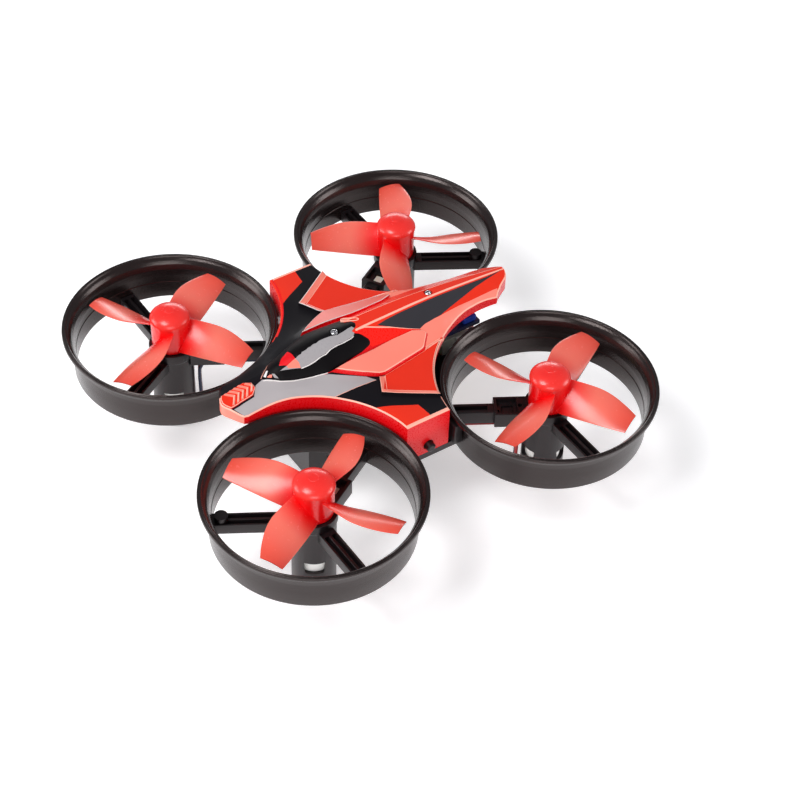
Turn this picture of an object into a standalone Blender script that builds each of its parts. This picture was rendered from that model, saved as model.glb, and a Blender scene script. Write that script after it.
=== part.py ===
"""Mini palm drone: a ducted micro quadcopter that stands on its four motor holders.

The ground is z = 0 and the origin is under the middle of the drone.
The nose points along -Y, the tail along +Y, and +X is the drone's left side.
Heights written as LIP_Z + n are measured from the plane of the four duct lips.
"""
import math

import bmesh
import bpy
from mathutils import Matrix, Vector

MM = 0.001

# Driving dimensions: the four ducts and the height of the drone.
DUCT_OFFSET = 23.9 * MM
LIP_RADIUS = 19.0 * MM
WALL_OUTER_RADIUS = 17.4 * MM
WALL_INNER_RADIUS = 16.75 * MM
DUCT_HEIGHT = 8.4 * MM
LIP_Z = 21.9 * MM
FIT_GAP = 0.12 * MM
WELD_DISTANCE = 1e-6

# Propellers.
HUB_RADIUS = 3.6 * MM
HUB_TOP = LIP_Z + 3.1 * MM
HUB_SHOULDER = LIP_Z + 1.5 * MM
HUB_BOTTOM = LIP_Z - 4.6 * MM
BLADE_TIP_RADIUS = 15.75 * MM
BLADE_ROOT_RADIUS = 2.6 * MM
BLADE_COUNT = 4

# Motors, 6 mm across, and the holders that they are pushed into.
MOTOR_RADIUS = 3.0 * MM
MOTOR_TOP = LIP_Z - 5.3 * MM
MOTOR_LENGTH = 15.0 * MM
SHAFT_RADIUS = 0.5 * MM
SHAFT_GAP = 0.05 * MM
SHAFT_TOP = LIP_Z - 0.6 * MM
HOLDER_OUTER_RADIUS = 3.8 * MM
HOLDER_BORE_RADIUS = MOTOR_RADIUS + FIT_GAP
HOLDER_TOP = LIP_Z - 5.0 * MM
WINDOW_TOP = LIP_Z - 14.0 * MM
WINDOW_HEIGHT = 1.9 * MM
WINDOW_WIDTH = 3.8 * MM

# Spokes between a holder and its duct.
SPOKE_WIDTH = 3.2 * MM
SPOKE_TOP = LIP_Z - 5.3 * MM
SPOKE_BOTTOM = LIP_Z - DUCT_HEIGHT
GROOVE_WIDTH = 0.8 * MM
GROOVE_DEPTH = 1.3 * MM
RIB_WIDTH = 0.5 * MM
WIRE_ARM_WIDTH = 2.4 * MM
WIRE_BOX_WIDTH = 4.6 * MM
WIRE_BOX_END = 9.3 * MM
WIRE_SLOT_RADIUS = 6.9 * MM
LEAD_HOLE_REACH = 19.5 * MM

# The wire arm of each duct points this far across and along towards the middle.
INWARD_X = math.cos(math.radians(60.0))
INWARD_Y = math.sin(math.radians(60.0))

# Centre frame and battery tray.
PLATE_THICKNESS = 1.2 * MM
PLATE_BOTTOM = LIP_Z - DUCT_HEIGHT
PLATE_TOP = PLATE_BOTTOM + PLATE_THICKNESS
PLATE_HALF_LENGTH = 20.5 * MM
PLATE_HALF_WIDTH = 20.9 * MM
ARM_HALF_WIDTH = 2.2 * MM
ARM_TOP = LIP_Z - 1.6 * MM
PEG_RADIUS = 0.85 * MM
PEG_Z = LIP_Z - 3.8 * MM
BATTERY_SIZE = (14.0 * MM, 28.0 * MM, 6.5 * MM)
BATTERY_BOTTOM = 6.3 * MM
TRAY_WALL = 0.8 * MM
TRAY_CLEARANCE = 0.2 * MM
TRAY_WINDOW_Y = (-8.6 * MM, 0.0, 8.6 * MM)

# Battery plug and the socket that stands on the plate.
SOCKET_REAR = 19.2 * MM
SOCKET_BOTTOM = PLATE_TOP + 0.1 * MM
SOCKET_HEIGHT = 3.4 * MM
SOCKET_HALF_WIDTH = 2.5 * MM
PLUG_TONGUE_HALF = 1.8 * MM
PLUG_TONGUE_LENGTH = 1.7 * MM
PLUG_LENGTH = 3.0 * MM

# Canopy.
CANOPY_WALL = 0.7 * MM
CANOPY_FRONT_ARC = 19.5 * MM
CANOPY_REAR_ARC = 19.9 * MM
CANOPY_HALF_WIDTH = 22.2 * MM
FLAP_BOTTOM = -5.5
NOSE_SKIRT = -0.8
TAIL_SKIRT = 2.0
CANOPY_SCREW_Y = (-4.9 * MM, 14.5 * MM)
CANOPY_SCREW_NAMES = ("canopy_screw_front", "canopy_screw_rear")
SCREW_HEAD_RADIUS = 0.95 * MM
SCREW_SHANK_RADIUS = 0.55 * MM
SCREW_HEAD_TOP = LIP_Z + 7.0 * MM
SCREW_HEAD_HEIGHT = 0.6 * MM
SCREW_LENGTH = 5.0 * MM
POST_TOP = LIP_Z + 5.0 * MM
BOSS_RADIUS = 1.4 * MM

# Circuit board.
BOARD_BOTTOM = LIP_Z - 1.3 * MM
BOARD_THICKNESS = 0.8 * MM
BOARD_TOP = BOARD_BOTTOM + BOARD_THICKNESS
BOARD_HALF = 9.3 * MM
TONGUE_HALF = 3.9 * MM
TONGUE_FRONT = -20.0 * MM
TONGUE_REAR = 23.4 * MM
BOARD_SCREW_X = 7.2 * MM

ROUND_SEGMENTS = 18
DUCT_SEGMENTS = 32

# Each duct: name, side of X, side of Y, turning direction of its propeller
# seen from above (+1 counter-clockwise), and the angle of its first blade.
CORNERS = (
    ("front_left", 1, -1, -1, 34.0),
    ("front_right", -1, -1, 1, 28.0),
    ("rear_right", -1, 1, -1, 62.0),
    ("rear_left", 1, 1, 1, 24.0),
)

PARTS = bpy.data.collections.new("mini_palm_drone")
CUTTERS = bpy.data.collections.new("cutters")


# --- Scene, materials and small helpers ---------------------------------------------

def clear_scene():
    for obj in list(bpy.data.objects):
        bpy.data.objects.remove(obj)
    bpy.context.scene.collection.children.link(PARTS)
    bpy.context.scene.collection.children.link(CUTTERS)


def plain_material(name, colour, roughness, metallic=0.0):
    material = bpy.data.materials.new(name)
    material.use_nodes = True
    shader = material.node_tree.nodes["Principled BSDF"]
    shader.inputs["Base Color"].default_value = (*colour, 1.0)
    shader.inputs["Roughness"].default_value = roughness
    shader.inputs["Metallic"].default_value = metallic
    return material


def object_from(name, bm, collection):
    """Turn a bmesh into an object; a cutter is hidden from the render."""
    bmesh.ops.recalc_face_normals(bm, faces=bm.faces)
    mesh = bpy.data.meshes.new(name)
    bm.to_mesh(mesh)
    bm.free()
    obj = bpy.data.objects.new(name, mesh)
    collection.objects.link(obj)
    if collection is CUTTERS:
        obj.hide_render = True
        obj.display_type = "WIRE"
    return obj


def finish(obj, material, sharp_angle=35.0):
    """Give a part its material and smooth its round faces."""
    obj.data.materials.append(material)
    obj.data.shade_smooth()
    obj.data.set_sharp_from_angle(angle=math.radians(sharp_angle))
    return obj


def box(name, low, high, collection):
    bm = bmesh.new()
    bmesh.ops.create_cube(bm, size=1.0)
    size = Vector(high) - Vector(low)
    middle = (Vector(high) + Vector(low)) / 2
    bmesh.ops.scale(bm, vec=size, verts=bm.verts)
    bmesh.ops.translate(bm, vec=middle, verts=bm.verts)
    return object_from(name, bm, collection)


def cylinder(name, radius, bottom, top, collection, segments=ROUND_SEGMENTS):
    bm = bmesh.new()
    bmesh.ops.create_cone(bm, cap_ends=True, segments=segments,
                          radius1=radius, radius2=radius, depth=top - bottom)
    bmesh.ops.translate(bm, vec=(0.0, 0.0, (top + bottom) / 2), verts=bm.verts)
    return object_from(name, bm, collection)


def turned(name, profile, collection, segments=ROUND_SEGMENTS, on_axis=False):
    """Turn a (radius, z) profile, outer side first and downwards, about Z.

    The profile closes on itself, unless it starts and ends on the axis.
    """
    mesh = bpy.data.meshes.new(name)
    points = [(radius, 0.0, z) for radius, z in profile]
    edges = [(i, i + 1) for i in range(len(points) - 1)]
    if not on_axis:
        edges.append((len(points) - 1, 0))
    mesh.from_pydata(points, edges, [])
    obj = bpy.data.objects.new(name, mesh)
    collection.objects.link(obj)
    screw = obj.modifiers.new("turn", "SCREW")
    screw.axis = "Z"
    screw.steps = segments
    screw.render_steps = segments
    screw.use_merge_vertices = on_axis
    screw.merge_threshold = WELD_DISTANCE
    return obj


def evaluated_mesh(obj, collection):
    """Replace a curve or a modified object by a plain mesh of the same shape."""
    bpy.context.view_layer.update()
    graph = bpy.context.evaluated_depsgraph_get()
    mesh = bpy.data.meshes.new_from_object(obj.evaluated_get(graph))
    bm = bmesh.new()
    bm.from_mesh(mesh)
    bmesh.ops.remove_doubles(bm, verts=bm.verts, dist=1e-7)
    bmesh.ops.transform(bm, matrix=obj.matrix_world, verts=bm.verts)
    name = obj.name
    bpy.data.objects.remove(obj)
    return object_from(name, bm, collection)


def extruded(name, outline, bottom, top, collection):
    """Stand a flat (x, y) outline up between two heights."""
    curve = bpy.data.curves.new(name, "CURVE")
    curve.dimensions = "2D"
    curve.fill_mode = "BOTH"
    curve.extrude = (top - bottom) / 2
    spline = curve.splines.new("POLY")
    spline.points.add(len(outline) - 1)
    for point, (x, y) in zip(spline.points, outline):
        point.co = (x, y, 0.0, 1.0)
    spline.use_cyclic_u = True
    obj = bpy.data.objects.new(name, curve)
    collection.objects.link(obj)
    obj.location.z = (top + bottom) / 2
    return evaluated_mesh(obj, collection)


def combine(target, tool, operation):
    """Add or cut one solid with another; the tool stays in the cutters."""
    modifier = target.modifiers.new(operation.lower(), "BOOLEAN")
    modifier.operation = operation
    modifier.object = tool
    modifier.solver = "EXACT"


def place(obj, x=0.0, y=0.0, z=0.0, turn=0.0):
    obj.location = (x, y, z)
    obj.rotation_euler = (0.0, 0.0, turn)
    return obj


def smooth_route(route, spacing):
    """Points along a smooth curve through a route, about one for each spacing."""
    stops = [Vector(point) for point in route]
    stops = [2 * stops[0] - stops[1], *stops, 2 * stops[-1] - stops[-2]]
    points = []
    for before, start, end, after in zip(stops, stops[1:], stops[2:], stops[3:]):
        steps = max(1, round((end - start).length / spacing))
        for step in range(steps):
            t = step / steps
            points.append(0.5 * (2 * start + (end - before) * t
                                 + (2 * before - 5 * start + 4 * end - after) * t ** 2
                                 + (3 * start - before - 3 * end + after) * t ** 3))
    points.append(stops[-2])
    return points


def wire(name, route, radius, material):
    curve = bpy.data.curves.new(name, "CURVE")
    curve.dimensions = "3D"
    curve.bevel_depth = radius
    curve.bevel_resolution = 2
    curve.use_fill_caps = True
    points = smooth_route(route, 8 * radius)
    spline = curve.splines.new("POLY")
    spline.points.add(len(points) - 1)
    for point, position in zip(spline.points, points):
        point.co = (*position, 1.0)
    curve.materials.append(material)
    obj = bpy.data.objects.new(name, curve)
    PARTS.objects.link(obj)
    return obj


# --- Frame: ducts, motor mounts, centre frame and battery tray -----------------------

def duct_profile():
    """Bell-mouthed lip on a straight wall, as (radius, z), outer side first."""
    lip = LIP_RADIUS
    return (
        (lip - 0.55 * MM, LIP_Z),
        (lip - 0.15 * MM, LIP_Z - 0.10 * MM),
        (lip, LIP_Z - 0.40 * MM),
        (lip - 0.15 * MM, LIP_Z - 0.80 * MM),
        (lip - 0.90 * MM, LIP_Z - 1.35 * MM),
        (WALL_OUTER_RADIUS + 0.25 * MM, LIP_Z - 2.2 * MM),
        (WALL_OUTER_RADIUS, LIP_Z - 3.6 * MM),
        (WALL_OUTER_RADIUS, LIP_Z - DUCT_HEIGHT),
        (WALL_INNER_RADIUS, LIP_Z - DUCT_HEIGHT),
        (WALL_INNER_RADIUS, LIP_Z - 4.2 * MM),
        (WALL_INNER_RADIUS + 0.25 * MM, LIP_Z - 2.4 * MM),
        (WALL_INNER_RADIUS + 0.75 * MM, LIP_Z - 1.2 * MM),
        (WALL_INNER_RADIUS + 1.35 * MM, LIP_Z - 0.30 * MM),
    )


def make_ducts():
    plastic = plain_material("duct_plastic", (0.03, 0.027, 0.029), 0.45)
    for corner, side_x, side_y, _, _ in CORNERS:
        duct = turned(f"duct_{corner}", duct_profile(), PARTS, DUCT_SEGMENTS)
        place(duct, side_x * DUCT_OFFSET, side_y * DUCT_OFFSET)
        finish(duct, plastic)


def holder_tube():
    profile = (
        (HOLDER_OUTER_RADIUS, HOLDER_TOP),
        (HOLDER_OUTER_RADIUS, 0.0),
        (HOLDER_BORE_RADIUS, 0.0),
        (HOLDER_BORE_RADIUS, HOLDER_TOP),
    )
    tube = turned("holder_tube", profile, CUTTERS)
    return evaluated_mesh(tube, CUTTERS)


def radial_box(name, start, end, half_width, bottom, top, angle):
    """A tool box along one radius, already turned to its angle."""
    bar = box(name, (start, -half_width, bottom), (end, half_width, top), CUTTERS)
    bar.data.transform(Matrix.Rotation(angle, 4, "Z"))
    return bar


def mount_tools():
    """Solids that make up the motor mount of a duct on the +X, -Y corner."""
    reach = WALL_INNER_RADIUS - 2 * FIT_GAP
    root = HOLDER_OUTER_RADIUS - 0.35 * MM
    inner_arm = math.radians(120.0)
    added = []
    cut = []
    for degrees in (0.0, 240.0):
        angle = math.radians(degrees)
        added.append(radial_box("spoke", root, reach, SPOKE_WIDTH / 2,
                                SPOKE_BOTTOM, SPOKE_TOP, angle))
        for side in (-1, 1):
            middle = side * (GROOVE_WIDTH + RIB_WIDTH) / 2
            groove = box("spoke_groove", (root + 1.0 * MM, middle - GROOVE_WIDTH / 2,
                                          SPOKE_TOP - GROOVE_DEPTH),
                         (reach - 0.6 * MM, middle + GROOVE_WIDTH / 2,
                          SPOKE_TOP + 1.0 * MM), CUTTERS)
            groove.data.transform(Matrix.Rotation(angle, 4, "Z"))
            cut.append(groove)
    added.append(radial_box("wire_arm", root, reach, WIRE_ARM_WIDTH / 2,
                            SPOKE_BOTTOM, SPOKE_TOP - 0.5 * MM, inner_arm))
    added.append(radial_box("wire_box", root, WIRE_BOX_END, WIRE_BOX_WIDTH / 2,
                            SPOKE_BOTTOM, SPOKE_TOP, inner_arm))
    slot = radial_box("wire_slot", WIRE_SLOT_RADIUS - 1.1 * MM, WIRE_SLOT_RADIUS + 1.1 * MM,
                      0.9 * MM, SPOKE_BOTTOM - 1.0 * MM, SPOKE_TOP + 1.0 * MM, inner_arm)
    cut.append(slot)
    for degrees in (90.0, 210.0, 330.0):
        window = radial_box("holder_window", HOLDER_BORE_RADIUS - 0.8 * MM,
                            HOLDER_OUTER_RADIUS + 1.0 * MM, WINDOW_WIDTH / 2,
                            WINDOW_TOP - WINDOW_HEIGHT, WINDOW_TOP, math.radians(degrees))
        cut.append(window)
    exit_slot = radial_box("lead_exit", HOLDER_BORE_RADIUS - 0.8 * MM,
                           HOLDER_OUTER_RADIUS + 1.0 * MM, 1.2 * MM,
                           -1.0 * MM, 1.5 * MM, inner_arm)
    cut.append(exit_slot)
    return added, cut


def make_motor_mounts():
    plastic = plain_material("mount_plastic", (0.028, 0.026, 0.028), 0.5)
    base = holder_tube()
    added, cut = mount_tools()
    for tool in added:
        combine(base, tool, "UNION")
    for tool in cut:
        combine(base, tool, "DIFFERENCE")
    base = evaluated_mesh(base, CUTTERS)
    for corner, side_x, side_y, _, _ in CORNERS:
        bm = bmesh.new()
        bm.from_mesh(base.data)
        flip = Matrix.Diagonal((side_x, -side_y, 1.0, 1.0))
        bmesh.ops.transform(bm, matrix=flip, verts=bm.verts)
        mount = object_from(f"motor_mount_{corner}", bm, PARTS)
        place(mount, side_x * DUCT_OFFSET, side_y * DUCT_OFFSET)
        finish(mount, plastic)


def arc_cross(half_width, half_length, clearance, steps=9):
    """Outline of the plus-shaped plate that fills the space between four ducts."""
    radius = WALL_OUTER_RADIUS + clearance
    start = math.asin((DUCT_OFFSET - half_width) / radius)
    stop = math.acos((DUCT_OFFSET - half_length) / radius)
    arc = []
    for step in range(steps + 1):
        angle = start + (stop - start) * step / steps
        arc.append((DUCT_OFFSET - radius * math.sin(angle),
                    DUCT_OFFSET - radius * math.cos(angle)))
    outline = list(arc)
    outline += [(-x, y) for x, y in reversed(arc)]
    outline += [(-x, -y) for x, y in arc]
    outline += [(x, -y) for x, y in reversed(arc)]
    return outline


def make_centre_frame():
    frame = extruded("centre_frame", arc_cross(PLATE_HALF_WIDTH, PLATE_HALF_LENGTH, FIT_GAP),
                     PLATE_BOTTOM, PLATE_TOP, PARTS)
    overlap = 0.3 * MM
    for y in CANOPY_SCREW_Y:
        post = cylinder("screw_post", BOSS_RADIUS, PLATE_TOP - overlap, POST_TOP, CUTTERS)
        place(post, y=y)
        combine(frame, post, "UNION")
        bore = cylinder("screw_bore", SCREW_SHANK_RADIUS + 0.1 * MM,
                        SCREW_HEAD_TOP - SCREW_HEAD_HEIGHT - SCREW_LENGTH - 0.5 * MM,
                        POST_TOP + 1.0 * MM, CUTTERS, 16)
        place(bore, y=y)
        combine(frame, bore, "DIFFERENCE")
    for side in (-1, 1):
        ends = sorted((side * 11.0 * MM, side * (CANOPY_HALF_WIDTH - 1.0 * MM)))
        arm = box("side_arm", (ends[0], -ARM_HALF_WIDTH, PLATE_TOP - overlap),
                  (ends[1], ARM_HALF_WIDTH, ARM_TOP), CUTTERS)
        combine(frame, arm, "UNION")
        peg = cylinder("peg", PEG_RADIUS, 0.0, 3.2 * MM, CUTTERS, 16)
        peg.data.transform(Matrix.Rotation(side * math.pi / 2, 4, "Y"))
        place(peg, side * (CANOPY_HALF_WIDTH - 2.3 * MM), 0.0, PEG_Z)
        combine(frame, peg, "UNION")
        support = cylinder("board_post", 1.5 * MM, PLATE_TOP - overlap,
                           BOARD_BOTTOM - 0.1 * MM, CUTTERS)
        place(support, side * BOARD_SCREW_X)
        combine(frame, support, "UNION")
        hole = cylinder("board_bore", 0.6 * MM, BOARD_BOTTOM - 4.0 * MM,
                        BOARD_BOTTOM + 1.0 * MM, CUTTERS, 12)
        place(hole, side * BOARD_SCREW_X)
        combine(frame, hole, "DIFFERENCE")
    for side_x in (-1, 1):
        for side_y in (-1, 1):
            notch = cylinder("lead_hole", 1.5 * MM, PLATE_BOTTOM - 1.0 * MM,
                             PLATE_TOP + 1.0 * MM, CUTTERS, 16)
            place(notch, side_x * (DUCT_OFFSET - LEAD_HOLE_REACH * INWARD_X),
                  side_y * (DUCT_OFFSET - LEAD_HOLE_REACH * INWARD_Y))
            combine(frame, notch, "DIFFERENCE")
    finish(frame, plain_material("frame_plastic", (0.03, 0.028, 0.03), 0.5))


def make_battery_tray():
    width, length, _ = BATTERY_SIZE
    half_width = width / 2 + TRAY_CLEARANCE
    half_length = length / 2 + TRAY_CLEARANCE
    floor_top = BATTERY_BOTTOM - FIT_GAP
    tray = box("battery_tray",
               (-half_width - TRAY_WALL, -half_length - TRAY_WALL, floor_top - TRAY_WALL),
               (half_width + TRAY_WALL, half_length, PLATE_BOTTOM - FIT_GAP), PARTS)
    cavity = box("tray_cavity", (-half_width, -half_length, floor_top),
                 (half_width, half_length + 1.0 * MM, PLATE_BOTTOM + 1.0 * MM), CUTTERS)
    combine(tray, cavity, "DIFFERENCE")
    for y in TRAY_WINDOW_Y:
        window = box("tray_window", (-4.2 * MM, y - 3.1 * MM, 0.0),
                     (4.2 * MM, y + 3.1 * MM, floor_top + 1.0 * MM), CUTTERS)
        combine(tray, window, "DIFFERENCE")
        side_window = box("tray_side_window",
                          (-half_width - 2.0 * MM, y - 2.6 * MM, floor_top + 1.4 * MM),
                          (half_width + 2.0 * MM, y + 2.6 * MM, floor_top + 5.2 * MM), CUTTERS)
        combine(tray, side_window, "DIFFERENCE")
    finish(tray, plain_material("tray_plastic", (0.03, 0.028, 0.03), 0.5))


# --- Motors and propellers ------------------------------------------------------------

def make_motors():
    steel = plain_material("motor_can_steel", (0.62, 0.62, 0.64), 0.28, 1.0)
    nylon = plain_material("motor_cap_nylon", (0.75, 0.74, 0.70), 0.5)
    shaft_steel = plain_material("shaft_steel", (0.7, 0.7, 0.72), 0.2, 1.0)
    bottom = MOTOR_TOP - MOTOR_LENGTH
    cap_top = bottom + 1.6 * MM
    shoulder = 0.3 * MM
    can_profile = (
        (MOTOR_RADIUS - shoulder, MOTOR_TOP),
        (MOTOR_RADIUS, MOTOR_TOP - shoulder),
        (MOTOR_RADIUS, cap_top + 0.06 * MM),
        (SHAFT_RADIUS + 0.15 * MM, cap_top + 0.06 * MM),
        (SHAFT_RADIUS + 0.15 * MM, MOTOR_TOP),
    )
    for corner, side_x, side_y, _, _ in CORNERS:
        spot = (side_x * DUCT_OFFSET, side_y * DUCT_OFFSET)
        can = place(turned(f"motor_can_{corner}", can_profile, PARTS), *spot)
        finish(can, steel)
        cap = cylinder(f"motor_cap_{corner}", MOTOR_RADIUS - 0.1 * MM, bottom, cap_top, PARTS)
        finish(place(cap, *spot), nylon)
        shaft = cylinder(f"motor_shaft_{corner}", SHAFT_RADIUS, cap_top + 0.6 * MM,
                         SHAFT_TOP, PARTS, 16)
        finish(place(shaft, *spot), shaft_steel)


def blade_section(reach):
    """Leading and trailing edge of a blade, as (offset, z), at 0..1 of its reach."""
    lead = 2.3 + 1.6 * math.sin(math.pi * min(1.0, 0.25 + 0.75 * reach)) - 0.1 * reach
    trail = 2.1 - 0.5 * reach
    lead_z = 0.2 - 1.4 * reach
    trail_z = -4.1 + 1.9 * reach
    return (lead * MM, LIP_Z + lead_z * MM), (-trail * MM, LIP_Z + trail_z * MM)


def blade(name, turning):
    """One blade along +X, lofted from lens-shaped sections; turning mirrors it."""
    stations = 6
    half_thickness = 0.28 * MM
    bm = bmesh.new()
    rings = []
    for station in range(stations):
        reach = station / (stations - 1)
        x = BLADE_ROOT_RADIUS + (BLADE_TIP_RADIUS - BLADE_ROOT_RADIUS) * reach
        (lead_y, lead_z), (trail_y, trail_z) = blade_section(reach)
        tip_cut = 0.6 * MM * max(0.0, reach - 0.8) / 0.2
        ring = []
        for share, bulge in ((0.0, 0.0), (0.25, 0.9), (0.7, 0.9),
                             (1.0, 0.0), (0.7, -0.9), (0.25, -0.9)):
            y = lead_y + (trail_y - lead_y) * share
            camber = 0.35 * MM * math.sin(math.pi * share)
            z = lead_z + (trail_z - lead_z) * share + camber
            trim = tip_cut * (2 * share - 1) ** 2
            thickness = bulge * half_thickness * (1.0 - 0.3 * reach)
            ring.append(bm.verts.new((x - trim, y * turning, z + thickness)))
        rings.append(ring)
    for ring, following in zip(rings, rings[1:]):
        for i in range(len(ring)):
            j = (i + 1) % len(ring)
            bm.faces.new((ring[i], ring[j], following[j], following[i]))
    bm.faces.new(rings[0])
    bm.faces.new(reversed(rings[-1]))
    return object_from(name, bm, CUTTERS)


def hub_solid():
    """Domed hub with a blind bore that the motor shaft turns in."""
    dome = HUB_TOP - HUB_SHOULDER
    steps = 6
    bore = SHAFT_RADIUS + SHAFT_GAP
    bore_top = SHAFT_TOP + 0.2 * MM
    profile = [(0.0, HUB_TOP)]
    for step in range(1, steps + 1):
        angle = math.pi / 2 * (1.0 - step / (steps + 1))
        profile.append((HUB_RADIUS * math.cos(angle),
                        HUB_SHOULDER + dome * math.sin(angle)))
    profile += [
        (HUB_RADIUS, HUB_SHOULDER - 0.1 * MM),
        (HUB_RADIUS, HUB_BOTTOM),
        (bore, HUB_BOTTOM),
        (bore, bore_top),
        (0.0, bore_top),
    ]
    return evaluated_mesh(turned("hub", profile, CUTTERS, on_axis=True), CUTTERS)


def propeller_mesh(turning):
    hub = hub_solid()
    for index in range(BLADE_COUNT):
        part = blade("blade", turning)
        part.data.transform(Matrix.Rotation(index * 2 * math.pi / BLADE_COUNT, 4, "Z"))
        combine(hub, part, "UNION")
    shape = evaluated_mesh(hub, CUTTERS)
    return shape.data


def make_propellers():
    plastic = plain_material("propeller_plastic", (0.84, 0.055, 0.035), 0.3)
    shapes = {turning: propeller_mesh(turning) for turning in (-1, 1)}
    for corner, side_x, side_y, turning, first_blade in CORNERS:
        mesh = shapes[turning].copy()
        mesh.materials.clear()
        obj = bpy.data.objects.new(f"propeller_{corner}", mesh)
        PARTS.objects.link(obj)
        place(obj, side_x * DUCT_OFFSET, side_y * DUCT_OFFSET, 0.0, math.radians(first_blade))
        finish(obj, plastic)


# --- Canopy ------------------------------------------------------------------------------

def canopy_edge(y):
    """Half width of the canopy at y: its sides follow the ducts."""
    arc = CANOPY_FRONT_ARC if y < 0.0 else CANOPY_REAR_ARC
    across = (DUCT_OFFSET - abs(y)) / arc
    if abs(across) >= 1.0:
        return CANOPY_HALF_WIDTH
    return min(CANOPY_HALF_WIDTH, DUCT_OFFSET - arc * math.sqrt(1.0 - across ** 2))


def canopy_rows():
    """Half sections of the canopy from nose to tail, in mm above the lip plane.

    Each row runs out from the middle: crown, crown edge, foot of the crown, start
    of the side panel, outer edge, and the bottom of the skirt.
    """
    nose = [(0.0, -27.4, 1.5), (0.8, -27.1, 1.5), (1.7, -26.6, 1.5),
            (2.9, -26.0, 1.1), (4.1, -25.3, 0.8), (4.15, -25.3, NOSE_SKIRT)]
    tail = [(0.0, 30.5, 5.6), (0.35, 30.3, 5.6), (1.9, 29.0, 4.9),
            (3.4, 27.5, 4.3), (4.25, 26.8, 3.3), (4.3, 26.8, TAIL_SKIRT)]
    # y, crown z, crown edge (x, z), foot (x, z), panel start (x, z), edge z, skirt z
    sections = (
        (-24.4, 2.2, 0.9, 2.2, 1.7, 2.1, 2.9, 1.6, 1.0, NOSE_SKIRT),
        (-22.2, 2.6, 0.9, 2.6, 1.8, 2.5, 3.1, 2.0, 1.3, NOSE_SKIRT),
        (-19.5, 3.3, 0.8, 3.3, 1.4, 3.2, 3.3, 2.6, 1.9, NOSE_SKIRT),
        (-17.0, 4.9, 0.9, 4.8, 2.0, 4.0, 3.9, 3.1, 2.2, NOSE_SKIRT),
        (-13.0, 6.3, 1.1, 6.1, 3.8, 4.2, 5.8, 3.2, 2.3, NOSE_SKIRT),
        (-9.0, 7.2, 1.3, 7.0, 5.7, 4.5, 8.0, 3.3, 2.2, NOSE_SKIRT),
        (-6.2, 7.4, 1.4, 7.2, 5.8, 4.6, 9.2, 3.3, 2.3, NOSE_SKIRT),
        (-5.1, 7.4, 1.4, 7.2, 5.6, 4.6, 9.5, 3.3, 2.4, FLAP_BOTTOM),
        (-4.5, 7.4, 1.4, 7.2, 5.4, 4.6, 9.6, 3.3, 2.5, FLAP_BOTTOM),
        (-2.0, 7.3, 1.3, 7.2, 4.8, 4.7, 9.5, 3.2, 2.7, FLAP_BOTTOM),
        (0.6, 7.2, 1.25, 7.2, 4.3, 4.8, 9.2, 3.2, 2.8, FLAP_BOTTOM),
        (4.0, 7.2, 1.2, 7.2, 4.5, 4.8, 8.9, 3.1, 2.6, FLAP_BOTTOM),
        (4.9, 7.2, 1.2, 7.2, 4.7, 4.8, 8.8, 3.1, 2.7, FLAP_BOTTOM),
        (5.9, 7.2, 1.2, 7.2, 4.9, 4.7, 8.5, 3.1, 2.8, 0.9),
        (8.0, 7.2, 1.2, 7.2, 5.2, 4.6, 7.8, 3.1, 2.8, 0.9),
        (10.5, 7.2, 1.15, 7.2, 5.6, 4.4, 7.0, 3.6, 2.8, 1.2),
        (12.5, 7.2, 1.1, 7.2, 5.3, 4.4, 6.2, 4.0, 2.9, 1.5),
        (14.5, 7.15, 1.05, 7.15, 4.6, 4.5, 5.4, 4.2, 3.1, 1.8),
        (18.0, 6.9, 0.9, 6.9, 3.6, 4.7, 4.3, 4.4, 3.3, TAIL_SKIRT),
        (22.0, 6.6, 0.75, 6.6, 2.9, 4.9, 3.5, 4.4, 3.4, TAIL_SKIRT),
        (26.0, 6.2, 0.55, 6.2, 2.5, 5.0, 3.4, 4.4, 3.35, TAIL_SKIRT),
    )
    rows = [nose]
    for y, crown, x1, z1, x2, z2, x3, z3, edge_z, skirt in sections:
        edge = canopy_edge(y * MM) / MM
        rows.append([(0.0, y, crown), (x1, y, z1), (x2, y, z2), (x3, y, z3),
                     (edge, y, edge_z), (edge + 0.05, y, skirt)])
    rows.append(tail)
    return rows


def canopy_half(bm):
    """One half of the open canopy surface, with its nose and tail ends closed down."""
    rows = []
    for row in canopy_rows():
        rows.append([bm.verts.new((x * MM, y * MM, LIP_Z + z * MM)) for x, y, z in row])
    for row, following in zip(rows, rows[1:]):
        for i in range(len(row) - 1):
            bm.faces.new((row[i], row[i + 1], following[i + 1], following[i]))
    for row, skirt_z in ((rows[0], NOSE_SKIRT), (rows[-1], TAIL_SKIRT)):
        lower = [bm.verts.new((vert.co.x, vert.co.y, LIP_Z + skirt_z * MM))
                 for vert in row[:-2]]
        lower.append(row[-1])
        for i in range(len(lower) - 1):
            bm.faces.new((row[i], row[i + 1], lower[i + 1], lower[i]))


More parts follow.
